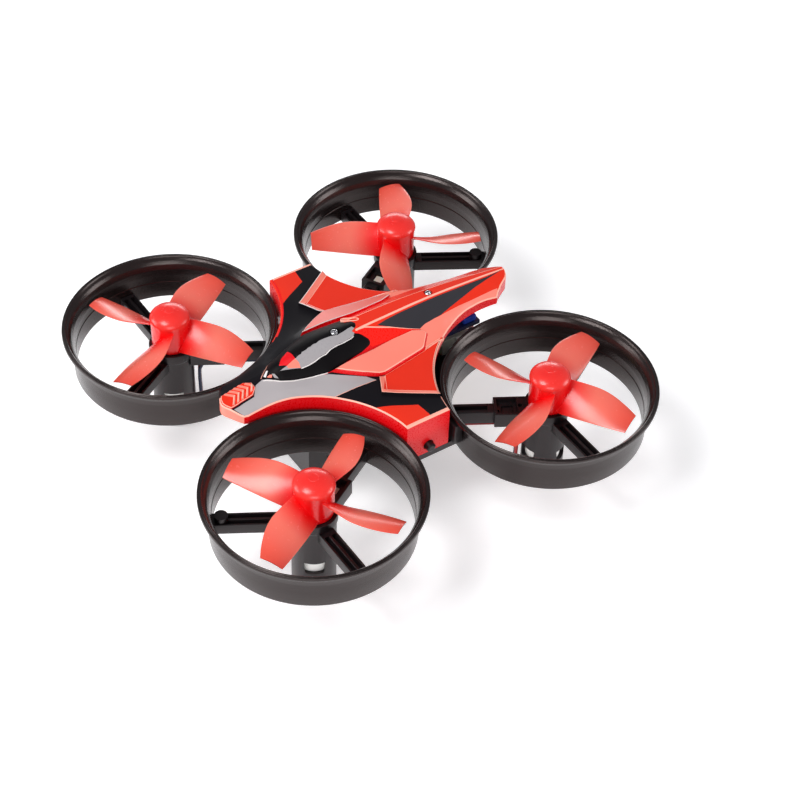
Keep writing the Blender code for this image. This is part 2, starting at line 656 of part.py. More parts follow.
def make_canopy():
    bm = bmesh.new()
    canopy_half(bm)
    canopy = object_from("canopy", bm, PARTS)
    mirror = canopy.modifiers.new("other_half", "MIRROR")
    mirror.use_axis = (True, False, False)
    mirror.merge_threshold = WELD_DISTANCE
    shell = canopy.modifiers.new("wall", "SOLIDIFY")
    shell.thickness = CANOPY_WALL
    shell.offset = -1.0
    shell.use_even_offset = True
    for side in (-1, 1):
        hole = cylinder("peg_hole", PEG_RADIUS + 0.15 * MM, -2.0 * MM, 2.0 * MM, CUTTERS, 16)
        hole.data.transform(Matrix.Rotation(math.pi / 2, 4, "Y"))
        place(hole, side * CANOPY_HALF_WIDTH, 0.0, PEG_Z)
        combine(canopy, hole, "DIFFERENCE")
    for y in CANOPY_SCREW_Y:
        boss = cylinder("screw_boss", BOSS_RADIUS, POST_TOP + 0.1 * MM,
                        LIP_Z + 6.8 * MM, CUTTERS)
        seat = cylinder("screw_seat", SCREW_HEAD_RADIUS + 0.15 * MM,
                        SCREW_HEAD_TOP - SCREW_HEAD_HEIGHT - 0.05 * MM,
                        LIP_Z + 9.0 * MM, CUTTERS)
        hole = cylinder("screw_hole", SCREW_SHANK_RADIUS + 0.1 * MM, LIP_Z + 4.0 * MM,
                        LIP_Z + 9.0 * MM, CUTTERS, 16)
        for tool, operation in ((boss, "UNION"), (seat, "DIFFERENCE"), (hole, "DIFFERENCE")):
            place(tool, y=y)
            combine(canopy, tool, operation)
    finish(canopy, plain_material("canopy_plastic", (0.82, 0.035, 0.012), 0.32), 20.0)


def make_canopy_screws():
    steel = plain_material("screw_steel", (0.72, 0.72, 0.74), 0.25, 1.0)
    under_head = SCREW_HEAD_TOP - SCREW_HEAD_HEIGHT
    for name, y in zip(CANOPY_SCREW_NAMES, CANOPY_SCREW_Y):
        screw = cylinder(name, SCREW_HEAD_RADIUS, under_head, SCREW_HEAD_TOP, PARTS)
        shank = cylinder("shank", SCREW_SHANK_RADIUS, under_head - SCREW_LENGTH,
                         under_head + 0.2 * MM, CUTTERS, 16)
        place(screw, y=y)
        place(shank, y=y)
        combine(screw, shank, "UNION")
        for turn in (0.0, math.pi / 2):
            recess = box("cross_recess", (-0.6 * MM, -0.14 * MM, SCREW_HEAD_TOP - 0.3 * MM),
                         (0.6 * MM, 0.14 * MM, SCREW_HEAD_TOP + 1.0 * MM), CUTTERS)
            place(recess, y=y, turn=turn)
            combine(screw, recess, "DIFFERENCE")
        finish(screw, steel)


# --- Electronics ---------------------------------------------------------------------------

def make_board():
    board = box("circuit_board", (-BOARD_HALF, -BOARD_HALF, BOARD_BOTTOM),
                (BOARD_HALF, BOARD_HALF, BOARD_TOP), PARTS)
    tongue = box("board_tongue", (-TONGUE_HALF, TONGUE_FRONT, BOARD_BOTTOM),
                 (TONGUE_HALF, TONGUE_REAR, BOARD_TOP), CUTTERS)
    combine(board, tongue, "UNION")
    for y in CANOPY_SCREW_Y:
        hole = cylinder("board_opening", 1.9 * MM, BOARD_BOTTOM - 1.0 * MM,
                        BOARD_TOP + 1.0 * MM, CUTTERS)
        place(hole, y=y)
        combine(board, hole, "DIFFERENCE")
    for side in (-1, 1):
        hole = cylinder("board_screw_hole", 0.65 * MM, BOARD_BOTTOM - 1.0 * MM,
                        BOARD_TOP + 1.0 * MM, CUTTERS, 12)
        place(hole, side * BOARD_SCREW_X)
        combine(board, hole, "DIFFERENCE")
    finish(board, plain_material("board_laminate", (0.01, 0.06, 0.16), 0.4))


def make_board_parts():
    """Chips, transistors and lights that stand on the board."""
    resin = plain_material("chip_resin", (0.02, 0.02, 0.022), 0.55)
    blue = plain_material("blue_light", (0.05, 0.15, 0.9), 0.2)
    red = plain_material("red_light", (0.9, 0.05, 0.04), 0.2)
    seat = BOARD_TOP + 0.05 * MM
    chips = (
        ("controller_chip", -4.1, 3.3, 4.6, 4.6, 0.9),
        ("radio_chip", 4.0, 3.6, 4.0, 4.0, 0.8),
        ("gyro_chip", 3.6, -2.6, 3.0, 3.0, 0.9),
    )
    for name, x, y, width, depth, height in chips:
        chip = box(name, ((x - width / 2) * MM, (y - depth / 2) * MM, seat),
                   ((x + width / 2) * MM, (y + depth / 2) * MM, seat + height * MM), PARTS)
        finish(chip, resin)
    for corner, side_x, side_y, _, _ in CORNERS:
        x = side_x * 6.9 * MM
        y = side_y * 7.2 * MM
        driver = box(f"motor_driver_{corner}", (x - 0.8 * MM, y - 1.4 * MM, seat),
                     (x + 0.8 * MM, y + 1.4 * MM, seat + 1.0 * MM), PARTS)
        finish(driver, resin)
        light_y = 21.4 * MM if side_y > 0 else -18.2 * MM
        light_x = side_x * 2.7 * MM
        light = box(f"light_{corner}", (light_x - 1.0 * MM, light_y - 1.4 * MM, seat),
                    (light_x + 1.0 * MM, light_y + 1.4 * MM, seat + 1.3 * MM), PARTS)
        finish(light, blue if side_y > 0 else red)


def make_board_screws():
    steel = plain_material("board_screw_steel", (0.6, 0.6, 0.62), 0.3, 1.0)
    for side, name in ((1, "board_screw_left"), (-1, "board_screw_right")):
        under_head = BOARD_TOP + 0.05 * MM
        screw = cylinder(name, 1.1 * MM, under_head, under_head + 0.6 * MM, PARTS, 16)
        shank = cylinder("board_screw_shank", 0.45 * MM, BOARD_BOTTOM - 3.0 * MM,
                         under_head + 0.2 * MM, CUTTERS, 12)
        place(screw, side * BOARD_SCREW_X)
        place(shank, side * BOARD_SCREW_X)
        combine(screw, shank, "UNION")
        finish(screw, steel)


def make_antenna():
    material = plain_material("antenna_sleeve", (0.03, 0.03, 0.03), 0.5)
    z = BOARD_TOP + 0.45 * MM
    route = ((-3.4 * MM, -7.0 * MM, z), (-3.8 * MM, -9.8 * MM, z + 0.3 * MM),
             (-2.6 * MM, -12.6 * MM, z + 0.7 * MM), (0.0, -13.8 * MM, z + 0.9 * MM),
             (2.6 * MM, -12.6 * MM, z + 0.7 * MM), (3.8 * MM, -9.8 * MM, z + 0.3 * MM),
             (3.4 * MM, -7.0 * MM, z))
    wire("antenna_wire", route, 0.3 * MM, material)


def make_motor_leads():
    red = plain_material("red_lead", (0.55, 0.02, 0.02), 0.4)
    black = plain_material("black_lead", (0.02, 0.02, 0.02), 0.4)
    white = plain_material("white_lead", (0.8, 0.8, 0.78), 0.4)
    blue = plain_material("blue_lead", (0.03, 0.08, 0.4), 0.4)
    radius = 0.32 * MM
    under = PLATE_BOTTOM - 0.6 * MM
    for corner, side_x, side_y, turning, _ in CORNERS:
        inward = Vector((-side_x * INWARD_X, -side_y * INWARD_Y, 0.0))
        across = Vector((-side_x * INWARD_Y, side_y * INWARD_X, 0.0))
        centre = Vector((side_x * DUCT_OFFSET, side_y * DUCT_OFFSET, 0.0))
        pair = (("a", -0.45 * MM, 5.0 * MM, red if turning > 0 else white),
                ("b", 0.45 * MM, 7.0 * MM, blue if turning > 0 else black))
        for suffix, shift, pad_y, material in pair:
            stops = (
                (1.5 * MM, 0.9 * MM),
                (4.1 * MM, 0.8 * MM),
                (4.75 * MM, 2.0 * MM),
                (4.75 * MM, 6.5 * MM),
                (4.75 * MM, 11.0 * MM),
                (5.6 * MM, under - 0.1 * MM),
                (9.0 * MM, under),
                (17.2 * MM, under),
                (18.9 * MM, PLATE_BOTTOM - 0.35 * MM),
                (LEAD_HOLE_REACH, PLATE_BOTTOM + 0.7 * MM),
                (20.3 * MM, PLATE_TOP + 1.6 * MM),
            )
            route = [centre + inward * reach + across * shift + Vector((0.0, 0.0, z))
                     for reach, z in stops]
            pad = Vector((side_x * 8.3 * MM, side_y * pad_y, BOARD_BOTTOM - 0.2 * MM))
            route += [pad + Vector((side_x * 0.9 * MM, 0.0, -1.8 * MM)), pad]
            wire(f"motor_lead_{corner}_{suffix}", route, radius, material)


# --- Battery ---------------------------------------------------------------------------------

def make_battery():
    width, length, height = BATTERY_SIZE
    pouch = box("battery", (-width / 2, -length / 2, BATTERY_BOTTOM),
                (width / 2, length / 2, BATTERY_BOTTOM + height), PARTS)
    bevel = pouch.modifiers.new("round_edges", "BEVEL")
    bevel.width = 0.9 * MM
    bevel.segments = 3
    finish(pouch, plain_material("battery_wrap", (0.62, 0.63, 0.66), 0.3, 0.6))


def make_battery_socket():
    nylon = plain_material("socket_nylon", (0.85, 0.84, 0.78), 0.45)
    top = SOCKET_BOTTOM + SOCKET_HEIGHT
    socket = box("battery_socket", (-SOCKET_HALF_WIDTH, SOCKET_REAR - 2.7 * MM, SOCKET_BOTTOM),
                 (SOCKET_HALF_WIDTH, SOCKET_REAR, top), PARTS)
    mouth = box("socket_mouth", (-PLUG_TONGUE_HALF - 0.15 * MM, SOCKET_REAR - 2.0 * MM,
                                 SOCKET_BOTTOM + 0.6 * MM),
                (PLUG_TONGUE_HALF + 0.15 * MM, SOCKET_REAR + 1.0 * MM, top - 0.6 * MM), CUTTERS)
    combine(socket, mouth, "DIFFERENCE")
    finish(socket, nylon)


def make_battery_plug():
    nylon = plain_material("plug_nylon", (0.85, 0.84, 0.78), 0.45)
    middle = SOCKET_BOTTOM + SOCKET_HEIGHT / 2
    start = SOCKET_REAR + 0.15 * MM
    plug = box("battery_plug", (-SOCKET_HALF_WIDTH, start, middle - 1.5 * MM),
               (SOCKET_HALF_WIDTH, start + PLUG_LENGTH, middle + 1.5 * MM), PARTS)
    tongue = box("plug_tongue", (-PLUG_TONGUE_HALF, start - PLUG_TONGUE_LENGTH, middle - 0.9 * MM),
                 (PLUG_TONGUE_HALF, start + 0.5 * MM, middle + 0.9 * MM), CUTTERS)
    combine(plug, tongue, "UNION")
    finish(plug, nylon)


def make_battery_leads():
    red = plain_material("battery_lead_red", (0.6, 0.02, 0.02), 0.4)
    black = plain_material("battery_lead_black", (0.02, 0.02, 0.02), 0.4)
    middle = SOCKET_BOTTOM + SOCKET_HEIGHT / 2
    plug_end = SOCKET_REAR + PLUG_LENGTH + 0.27 * MM
    pouch_end = BATTERY_SIZE[1] / 2 + 0.12 * MM
    for side, name, material in ((-1, "battery_lead_red", red), (1, "battery_lead_black", black)):
        x = side * 0.95 * MM
        route = (
            (x, plug_end, middle),
            (x, plug_end + 1.6 * MM, middle),
            (x * 1.3, plug_end + 3.2 * MM, middle - 2.0 * MM),
            (x * 1.5, plug_end + 2.2 * MM, middle - 4.8 * MM),
            (x * 1.7, plug_end - 1.6 * MM, middle - 6.6 * MM),
            (x * 1.8, pouch_end + 2.0 * MM, middle - 7.0 * MM),
            (x * 1.8, pouch_end, middle - 7.0 * MM),
        )
        wire(name, route, 0.45 * MM, material)


def main():
    clear_scene()
    make_ducts()
    make_motor_mounts()
    make_centre_frame()
    make_battery_tray()
    make_motors()
    make_propellers()
    make_canopy()
    make_canopy_screws()
    make_board()
    make_board_parts()
    make_board_screws()
    make_antenna()
    make_motor_leads()
    make_battery()
    make_battery_socket()
    make_battery_plug()
    make_battery_leads()


main()
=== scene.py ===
import math

import bmesh
import bpy
from mathutils import Matrix, Vector, geometry


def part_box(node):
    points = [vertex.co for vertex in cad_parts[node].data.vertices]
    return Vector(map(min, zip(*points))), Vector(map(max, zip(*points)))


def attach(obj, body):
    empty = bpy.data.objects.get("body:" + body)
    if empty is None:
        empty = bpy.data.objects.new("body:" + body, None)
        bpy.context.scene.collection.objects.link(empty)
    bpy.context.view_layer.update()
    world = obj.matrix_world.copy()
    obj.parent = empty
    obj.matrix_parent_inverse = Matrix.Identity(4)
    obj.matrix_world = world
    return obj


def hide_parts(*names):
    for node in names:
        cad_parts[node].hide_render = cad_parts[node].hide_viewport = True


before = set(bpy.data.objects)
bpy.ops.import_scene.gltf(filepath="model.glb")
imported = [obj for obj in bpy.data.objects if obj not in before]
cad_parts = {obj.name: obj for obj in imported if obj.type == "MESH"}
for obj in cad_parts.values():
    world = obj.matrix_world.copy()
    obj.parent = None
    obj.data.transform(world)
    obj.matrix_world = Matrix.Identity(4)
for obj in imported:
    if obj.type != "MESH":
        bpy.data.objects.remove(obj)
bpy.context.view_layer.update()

# All shapes below are worked out in millimetres, with z counted from the plane of
# the duct lips, and are scaled and lifted when they become meshes.
MM = 0.001
LIP_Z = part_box("duct_front_left")[1].z / MM
DUCT_OFFSET = 23.9
LIP_RADIUS = 19.0
WALL_OUTER = 17.4
WALL_INNER = 16.75
DUCT_HEIGHT = 8.4
SPOKE_TOP = -5.3
HOLDER_TOP = -5.0
HOLDER_OUTER = 3.8
HOLDER_BORE = 3.12
FLOOR = -LIP_Z
GUIDE_REACH = 6.9
FRONT_SCREW_Y = -4.9
REAR_SCREW_Y = 14.5
PEG_Z = -3.8
CANOPY_SHARP = 24.0
SHELL_WALL = 0.6
RIM_BEVEL = 0.22
PLATE_SINK = 0.08
ARC_STEPS = 44
MOTOR_LENGTH = 15.0
MOTOR_RADIUS = 3.0
BLADE_ROOT = 2.4
BLADE_TIP = 15.75

SIDES = ((1, "left"), (-1, "right"))
# name, side of X, side of Y, turning direction, angle of the first blade
CORNERS = (
    ("front_left", 1, -1, -1, 34.0),
    ("front_right", -1, -1, 1, 28.0),
    ("rear_right", -1, 1, -1, 62.0),
    ("rear_left", 1, 1, 1, 24.0),
)


# --- Materials ------------------------------------------------------------------------

def linear(rgb):
    """An 8-bit display colour as the linear colour that shaders take."""
    out = []
    for value in rgb:
        value /= 255.0
        out.append(value / 12.92 if value <= 0.04045 else ((value + 0.055) / 1.055) ** 2.4)
    return out


def moulded(name, rgb, roughness, grain_mm, grain, tint, mottle_mm, rough_spread, coat=0.0,
            metallic=0.0, scatter=0.0, specular=0.5, glow=0.0, noise_detail=4.0,
            gloss=(1.0, 1.0, 1.0)):
    """A plastic, paint or metal with mottled colour, uneven gloss and a fine grain."""
    mat = bpy.data.materials.new(name)
    mat.use_nodes = True
    nodes, links = mat.node_tree.nodes, mat.node_tree.links
    inputs = nodes["Principled BSDF"].inputs
    colour = linear(rgb)
    coords = nodes.new("ShaderNodeTexCoord")

    def noise(size_mm, detail):
        node = nodes.new("ShaderNodeTexNoise")
        node.inputs["Scale"].default_value = 1.0 / (size_mm * MM)
        node.inputs["Detail"].default_value = detail
        links.new(coords.outputs["Object"], node.inputs["Vector"])
        return node.outputs["Fac"]

    broad = noise(mottle_mm, 3.0)
    fine = noise(grain_mm, noise_detail)
    mix = nodes.new("ShaderNodeMix")
    mix.data_type = "RGBA"
    mix.inputs[6].default_value = (*[c * (1.0 - tint) for c in colour], 1.0)
    mix.inputs[7].default_value = (*[min(1.0, c * (1.0 + tint)) for c in colour], 1.0)
    links.new(broad, mix.inputs[0])
    links.new(mix.outputs[2], inputs["Base Color"])
    spread = nodes.new("ShaderNodeMapRange")
    spread.inputs["To Min"].default_value = max(0.02, roughness - rough_spread)
    spread.inputs["To Max"].default_value = roughness + rough_spread
    links.new(fine, spread.inputs["Value"])
    links.new(spread.outputs["Result"], inputs["Roughness"])
    bump = nodes.new("ShaderNodeBump")
    bump.inputs["Strength"].default_value = grain
    bump.inputs["Distance"].default_value = 0.05 * MM
    links.new(fine, bump.inputs["Height"])
    links.new(bump.outputs["Normal"], inputs["Normal"])
    settings = {"Metallic": metallic, "Specular IOR Level": specular,
                "Specular Tint": (*gloss, 1.0), "Coat Weight": coat, "Coat Roughness": 0.08}
    if scatter > 0.0:
        settings.update({"Subsurface Weight": scatter, "Subsurface Scale": 1.2 * MM,
                         "Subsurface Radius": (1.0, 0.25, 0.15)})
    if glow > 0.0:
        settings.update({"Emission Color": (*colour, 1.0), "Emission Strength": glow})
    for setting, value in settings.items():
        inputs[setting].default_value = value
    return mat


def paint(name, rgb, roughness, tint=0.05, mottle_mm=8.0, specular=0.3):
    return moulded(name, rgb, roughness, 0.3, 0.05, tint, mottle_mm, 0.05, specular=specular)


def insulation(name, rgb, tint=0.08):
    return moulded(name, rgb, 0.38, 0.2, 0.12, tint, 1.5, 0.06)


MATERIALS = {
    "duct": moulded("duct_black", (24, 17, 17), 0.22, 0.25, 0.50, 0.25, 5.0, 0.10,
                    specular=0.48, gloss=(1.0, 0.86, 0.83)),
    "frame": moulded("frame_black", (22, 18, 20), 0.34, 0.20, 0.35, 0.20, 4.0, 0.08,
                     specular=0.4, gloss=(1.0, 0.90, 0.90)),
    "prop": moulded("propeller_red", (234, 80, 64), 0.26, 0.6, 0.05, 0.10, 7.0, 0.04,
                    scatter=0.20),
    "red": paint("canopy_red", (232, 47, 24), 0.25),
    # Painted shade: a darker, deeper copy of the canopy red, for walls, grooves and the skirt.
    "deep": paint("canopy_red_painted_shade", (226, 12, 20), 0.28),
    # Painted light: a lighter copy of the canopy red, for the facets that face the light.
    "bright": paint("canopy_red_painted_light", (250, 28, 18), 0.28),
    # Salmon paint; on the front of the nose's skirt it is painted light.
    "salmon": paint("canopy_salmon", (249, 134, 116), 0.30),
    # Painted shade: a darker copy of the salmon, for the right strip's top.
    "rose": paint("canopy_salmon_painted_shade", (224, 98, 86), 0.30, 0.06, 5.0),
    # Painted highlight: a pale salmon for bevels, creases and ribs that catch the light.
    "edge": paint("canopy_edge_highlight", (255, 178, 158), 0.28, 0.06, 3.0),
    "grey": moulded("decal_grey", (168, 162, 164), 0.40, 0.3, 0.06, 0.04, 5.0, 0.05,
                    specular=0.25),
    # Black decals; also painted shadow at the foot of the strips' walls.
    "black": paint("black_decal_and_shadow", (20, 18, 22), 0.30, 0.12, 5.0, 0.12),
    "slate": moulded("decal_slate", (50, 49, 54), 0.40, 0.3, 0.08, 0.10, 5.0, 0.06,
                     specular=0.2),
    "glass": moulded("cockpit_black", (13, 11, 13), 0.45, 0.5, 0.03, 0.10, 5.0, 0.05,
                     specular=0.08),
    "stripe": moulded("cockpit_grey", (160, 156, 158), 0.28, 0.4, 0.05, 0.06, 3.0, 0.04,
                      specular=0.25),
    "mark": moulded("cockpit_red", (222, 18, 30), 0.26, 0.4, 0.04, 0.05, 3.0, 0.04,
                    specular=0.25),
    # White print; also a painted highlight on right-side bevels and the left cockpit frame.
    "white": moulded("white_print_and_highlight", (232, 226, 224), 0.35, 0.4, 0.05, 0.04, 3.0, 0.05,
                     specular=0.25),
    "steel": moulded("screw_steel", (205, 205, 208), 0.24, 0.12, 0.10, 0.05, 1.0, 0.06,
                     metallic=1.0),
    "can": moulded("motor_can_steel", (196, 196, 200), 0.30, 0.10, 0.12, 0.06, 3.0, 0.08,
                   metallic=1.0),
    "nylon": moulded("nylon_cream", (214, 210, 196), 0.45, 0.2, 0.12, 0.05, 2.0, 0.06,
                     scatter=0.2),
    "paper": moulded("label_paper", (240, 238, 234), 0.55, 0.3, 0.06, 0.04, 2.0, 0.05),
    "shaft": moulded("shaft_steel", (214, 214, 218), 0.16, 0.08, 0.05, 0.04, 1.0, 0.04,
                     metallic=1.0),
    "board": moulded("board_blue", (12, 24, 62), 0.30, 0.3, 0.20, 0.20, 1.2, 0.08,
                     coat=0.4),
    "resin": moulded("chip_resin", (34, 34, 37), 0.55, 0.10, 0.40, 0.12, 1.0, 0.08),
    "led_blue": moulded("light_blue", (22, 44, 120), 0.15, 0.3, 0.02, 0.30, 0.8, 0.03,
                        glow=0.08),
    "led_red": moulded("light_red", (255, 60, 50), 0.15, 0.3, 0.02, 0.08, 1.0, 0.03,
                       glow=1.0),
    "sleeve": moulded("antenna_sleeve", (38, 38, 40), 0.5, 0.15, 0.2, 0.10, 1.0, 0.06),
    "lead_red": insulation("lead_red", (150, 22, 24)),
    "lead_black": insulation("lead_black", (34, 33, 35), 0.10),
    "lead_white": insulation("lead_white", (226, 225, 220), 0.05),
    "lead_blue": insulation("lead_blue", (22, 28, 62)),
    "wrap": moulded("battery_wrap", (186, 190, 198), 0.30, 0.8, 0.35, 0.08, 3.0, 0.08,
                    metallic=0.55, noise_detail=2.0),
    "tape": moulded("battery_tape", (226, 186, 60), 0.40, 0.3, 0.10, 0.05, 2.0, 0.05),
}


def paint_prop_light_and_shade(mat):
    """Painted shade and light on a propeller: fuller red around and under its hub, paler middles on
    its blades.
    """
    nodes, links = mat.node_tree.nodes, mat.node_tree.links
    base = nodes["Principled BSDF"].inputs["Base Color"]
    outer = base.links[0].from_socket
    hub = (DUCT_OFFSET * MM, DUCT_OFFSET * MM, (LIP_Z - 3.0) * MM)
    reach = nodes.new("ShaderNodeTexCoord").outputs["Object"]
    # The four hubs are folded onto one, and the result is the distance from it.
    for operation, operand in (("ABSOLUTE", None), ("SUBTRACT", hub),
                               ("MULTIPLY", (1.0, 1.0, 0.80)), ("LENGTH", None)):
        step = nodes.new("ShaderNodeVectorMath")
        step.operation = operation
        if operand:
            step.inputs[1].default_value = operand
        links.new(reach, step.inputs[0])
        reach = step.outputs["Value" if operation == "LENGTH" else "Vector"]

    def blend(start, stop):
        """A colour mix that goes over from one radius to another, in millimetres."""
        ramp = nodes.new("ShaderNodeMapRange")
        ramp.interpolation_type = "SMOOTHSTEP"
        ramp.inputs["From Min"].default_value = start * MM
        ramp.inputs["From Max"].default_value = stop * MM
        links.new(reach, ramp.inputs["Value"])
        mix = nodes.new("ShaderNodeMix")
        mix.data_type = "RGBA"
        links.new(ramp.outputs["Result"], mix.inputs[0])
        return mix

    # Painted shade: deep red round the hubs.
    whole = blend(3.8, 9.0)
    whole.inputs[6].default_value = (*linear((236, 6, 12)), 1.0)
    # Painted highlight: paler middles of the blades.
    blade = blend(16.5, 8.5)
    blade.inputs[7].default_value = (*linear((246, 116, 100)), 1.0)
    links.new(outer, blade.inputs[6])
    links.new(blade.outputs[2], whole.inputs[7])
    links.new(whole.outputs[2], base)


paint_prop_light_and_shade(MATERIALS["prop"])


# --- Mesh helpers ---------------------------------------------------------------------

def linked(name, data):
    obj = bpy.data.objects.new(name, data)
    bpy.context.scene.collection.objects.link(obj)
    return obj


def duplicate(obj, name):
    return linked(name, obj.data.copy())


def shade(mesh, sharp):
    """Smooth shading, broken at edges sharper than an angle in degrees."""
    mesh.shade_smooth()
    mesh.set_sharp_from_angle(angle=math.radians(sharp))


def make(name, verts, faces, looks, face_looks=None, sharp=32.0):
    """An object from millimetre points; faces take one of the named looks."""
    mesh = bpy.data.meshes.new(name)
    mesh.from_pydata([(x * MM, y * MM, (z + LIP_Z) * MM) for x, y, z in verts], [], faces)
    for look in looks:
        mesh.materials.append(MATERIALS[look])
    if face_looks:
        for polygon, look in zip(mesh.polygons, face_looks):
            polygon.material_index = looks.index(look)
    bm = bmesh.new()
    bm.from_mesh(mesh)
    bmesh.ops.remove_doubles(bm, verts=bm.verts, dist=0.002 * MM)
    bmesh.ops.recalc_face_normals(bm, faces=bm.faces)
    bm.to_mesh(mesh)
    bm.free()
    shade(mesh, sharp)
    return linked(name, mesh)


def shape(name, look, verts, faces, sharp=32.0):
    """An object with one look."""
    return make(name, verts, faces, [look], None, sharp)


def fillet(points, radius, steps=4):
    """Round the corners of a closed 2D outline."""
    out = []
    count = len(points)
    for i in range(count):
        before, here, after = (Vector(points[(i + k) % count]) for k in (-1, 0, 1))
        to_before = before - here
        to_after = after - here
        reach = min(radius, 0.45 * to_before.length, 0.45 * to_after.length)
        start = here + to_before.normalized() * reach
        stop = here + to_after.normalized() * reach
        for step in range(steps + 1):
            t = step / steps
            out.append(tuple(start * (1 - t) ** 2 + here * 2 * t * (1 - t) + stop * t ** 2))
    return out


def ring_faces(rings, count, closed=False):
    """Faces of a skin over rings of points, joined end to end or else with flat ends."""
    total = rings * count
    faces = [] if closed else [tuple(range(count)),
                               tuple(range(total - 1, total - count - 1, -1))]
    for ring in range(rings if closed else rings - 1):
        a = ring * count
        b = (ring + 1) % rings * count
        for k in range(count):
            j = (k + 1) % count
            faces.append((a + k, a + j, b + j, b + k))
    return faces


def lathe(profile, segments):
    """Verts and faces of a closed (radius, z) outline turned about an upright axis."""
    verts = []
    for step in range(segments):
        angle = 2 * math.pi * step / segments
        verts += [(radius * math.cos(angle), radius * math.sin(angle), z)
                  for radius, z in profile]
    return verts, ring_faces(segments, len(profile), closed=True)


def domed(profile, segments):
    """As lathe, for an outline that starts and ends on the axis."""
    inner = profile[1:-1]
    count = len(inner)
    verts = []
    for step in range(segments):
        angle = 2 * math.pi * step / segments
        verts += [(radius * math.cos(angle), radius * math.sin(angle), z) for radius, z in inner]
    top = len(verts)
    verts += [(0.0, 0.0, profile[0][1]), (0.0, 0.0, profile[-1][1])]
    faces = []
    for step in range(segments):
        a = step * count
        b = (step + 1) % segments * count
        faces += [(a + i, a + i + 1, b + i + 1, b + i) for i in range(count - 1)]
        faces += [(top, a, b), (top + 1, b + count - 1, a + count - 1)]
    return verts, faces


def prism(outline, low, high, frame_of):
    """A closed solid from a 2D outline swept between two stations.

    frame_of(u, v, w) turns outline coordinates and the station into a point.
    """
    verts = [frame_of(u, v, w) for w in (low, high) for u, v in outline]
    return verts, ring_faces(2, len(outline))


def level(u, v, w):
    """Outline coordinates (x, y), and z for the station."""
    return u, v, w


def rectangle(half_width, low, high):
    return [(-half_width, low), (half_width, low), (half_width, high), (-half_width, high)]


def circle(radius, count=24, v=0.0):
    """An outline round a point on the second axis."""
    angles = [2 * math.pi * i / count for i in range(count)]
    return [(radius * math.cos(angle), v + radius * math.sin(angle)) for angle in angles]


def signed_power(value, exponent):
    return math.copysign(abs(value) ** exponent, value)


def tool(verts, faces):
    """A solid that is used up in a union or a cut."""
    return shape("tool", "frame", verts, faces)


def join(solid):
    return "UNION", tool(*solid)


def cut(solid):
    return "DIFFERENCE", tool(*solid)


def apply_modifiers(obj):
    """Turn what an object's modifiers make of it into its own mesh."""
    bpy.context.view_layer.update()
    graph = bpy.context.evaluated_depsgraph_get()
    mesh = bpy.data.meshes.new_from_object(obj.evaluated_get(graph))
    obj.modifiers.clear()
    obj.data = mesh
    return obj


def combined(obj, tools, sharp=30.0):
    """Union and cut a solid with (operation, tool) pairs, then drop the tools."""
    for operation, other in tools:
        modifier = obj.modifiers.new("solid", "BOOLEAN")
        modifier.operation = operation
        modifier.object = other
        modifier.solver = "EXACT"
    apply_modifiers(obj)
    for _, other in tools:
        bpy.data.objects.remove(other)
    shade(obj.data, sharp)
    return obj


def placed(obj, x, y, turn=0.0):
    """Turn a part about its own upright axis and move it, in millimetres."""
    obj.data.transform(Matrix.Translation((x * MM, y * MM, 0.0))
                       @ Matrix.Rotation(turn, 4, "Z"))
    return obj


def mirrored(obj, flip_x, flip_y):
    """Scale by 1 or -1 in X and Y, with the faces still pointing outwards."""
    obj.data.transform(Matrix.Diagonal((flip_x, flip_y, 1.0, 1.0)))
    if flip_x * flip_y < 0:
        obj.data.flip_normals()
    return obj


def on_body(obj, body, slot, *nodes):
    """Every piece rides on a body and may stand for CAD nodes, which are hidden; slot is not used.
    """
    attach(obj, body)
    if nodes:
        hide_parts(*nodes)
    return obj


# --- Ducts ----------------------------------------------------------------------------

def duct_profile():
    """The rolled lip, with a fine groove on top, and the wall under it."""
    outline = (
        (18.24, -0.20), (18.34, -0.02), (18.52, 0.0), (18.62, -0.10), (18.70, -0.12),
        (18.80, -0.04), (18.92, -0.08), (LIP_RADIUS, -0.22), (LIP_RADIUS, -0.62),
        (18.80, -0.86), (18.30, -1.02), (17.90, -1.50), (17.62, -2.30), (17.46, -3.40),
        (17.42, -5.00), (WALL_OUTER, -8.28), (17.28, -DUCT_HEIGHT), (16.87, -DUCT_HEIGHT),
        (WALL_INNER, -8.28), (WALL_INNER, -4.95), (16.84, -4.85), (16.88, -3.40), (17.06, -2.20),
        (17.40, -1.25), (17.80, -0.65), (18.10, -0.36),
    )
    return fillet(outline, 0.12, 2)


def make_ducts():
    for corner, side_x, side_y, _, _ in CORNERS:
        verts, faces = lathe(duct_profile(), 160)
        duct = shape(f"duct_ring_{corner}", "duct", verts, faces, 50.0)
        placed(duct, side_x * DUCT_OFFSET, side_y * DUCT_OFFSET)
        on_body(duct, "frame", "duct_plastic", f"duct_{corner}")


# --- Motor mounts ---------------------------------------------------------------------

def radial(angle):
    """Outline coordinates (across, z) and a station along the radius to a point."""
    cos, sin = math.cos(angle), math.sin(angle)
    return lambda u, v, w: (w * cos - u * sin, w * sin + u * cos, v)


def upright(angle, reach):
    """Outline coordinates (outwards, across) about a point at a radius, and z."""
    cos, sin = math.cos(angle), math.sin(angle)
    return lambda u, v, w: ((reach + u) * cos - v * sin, (reach + u) * sin + v * cos, w)


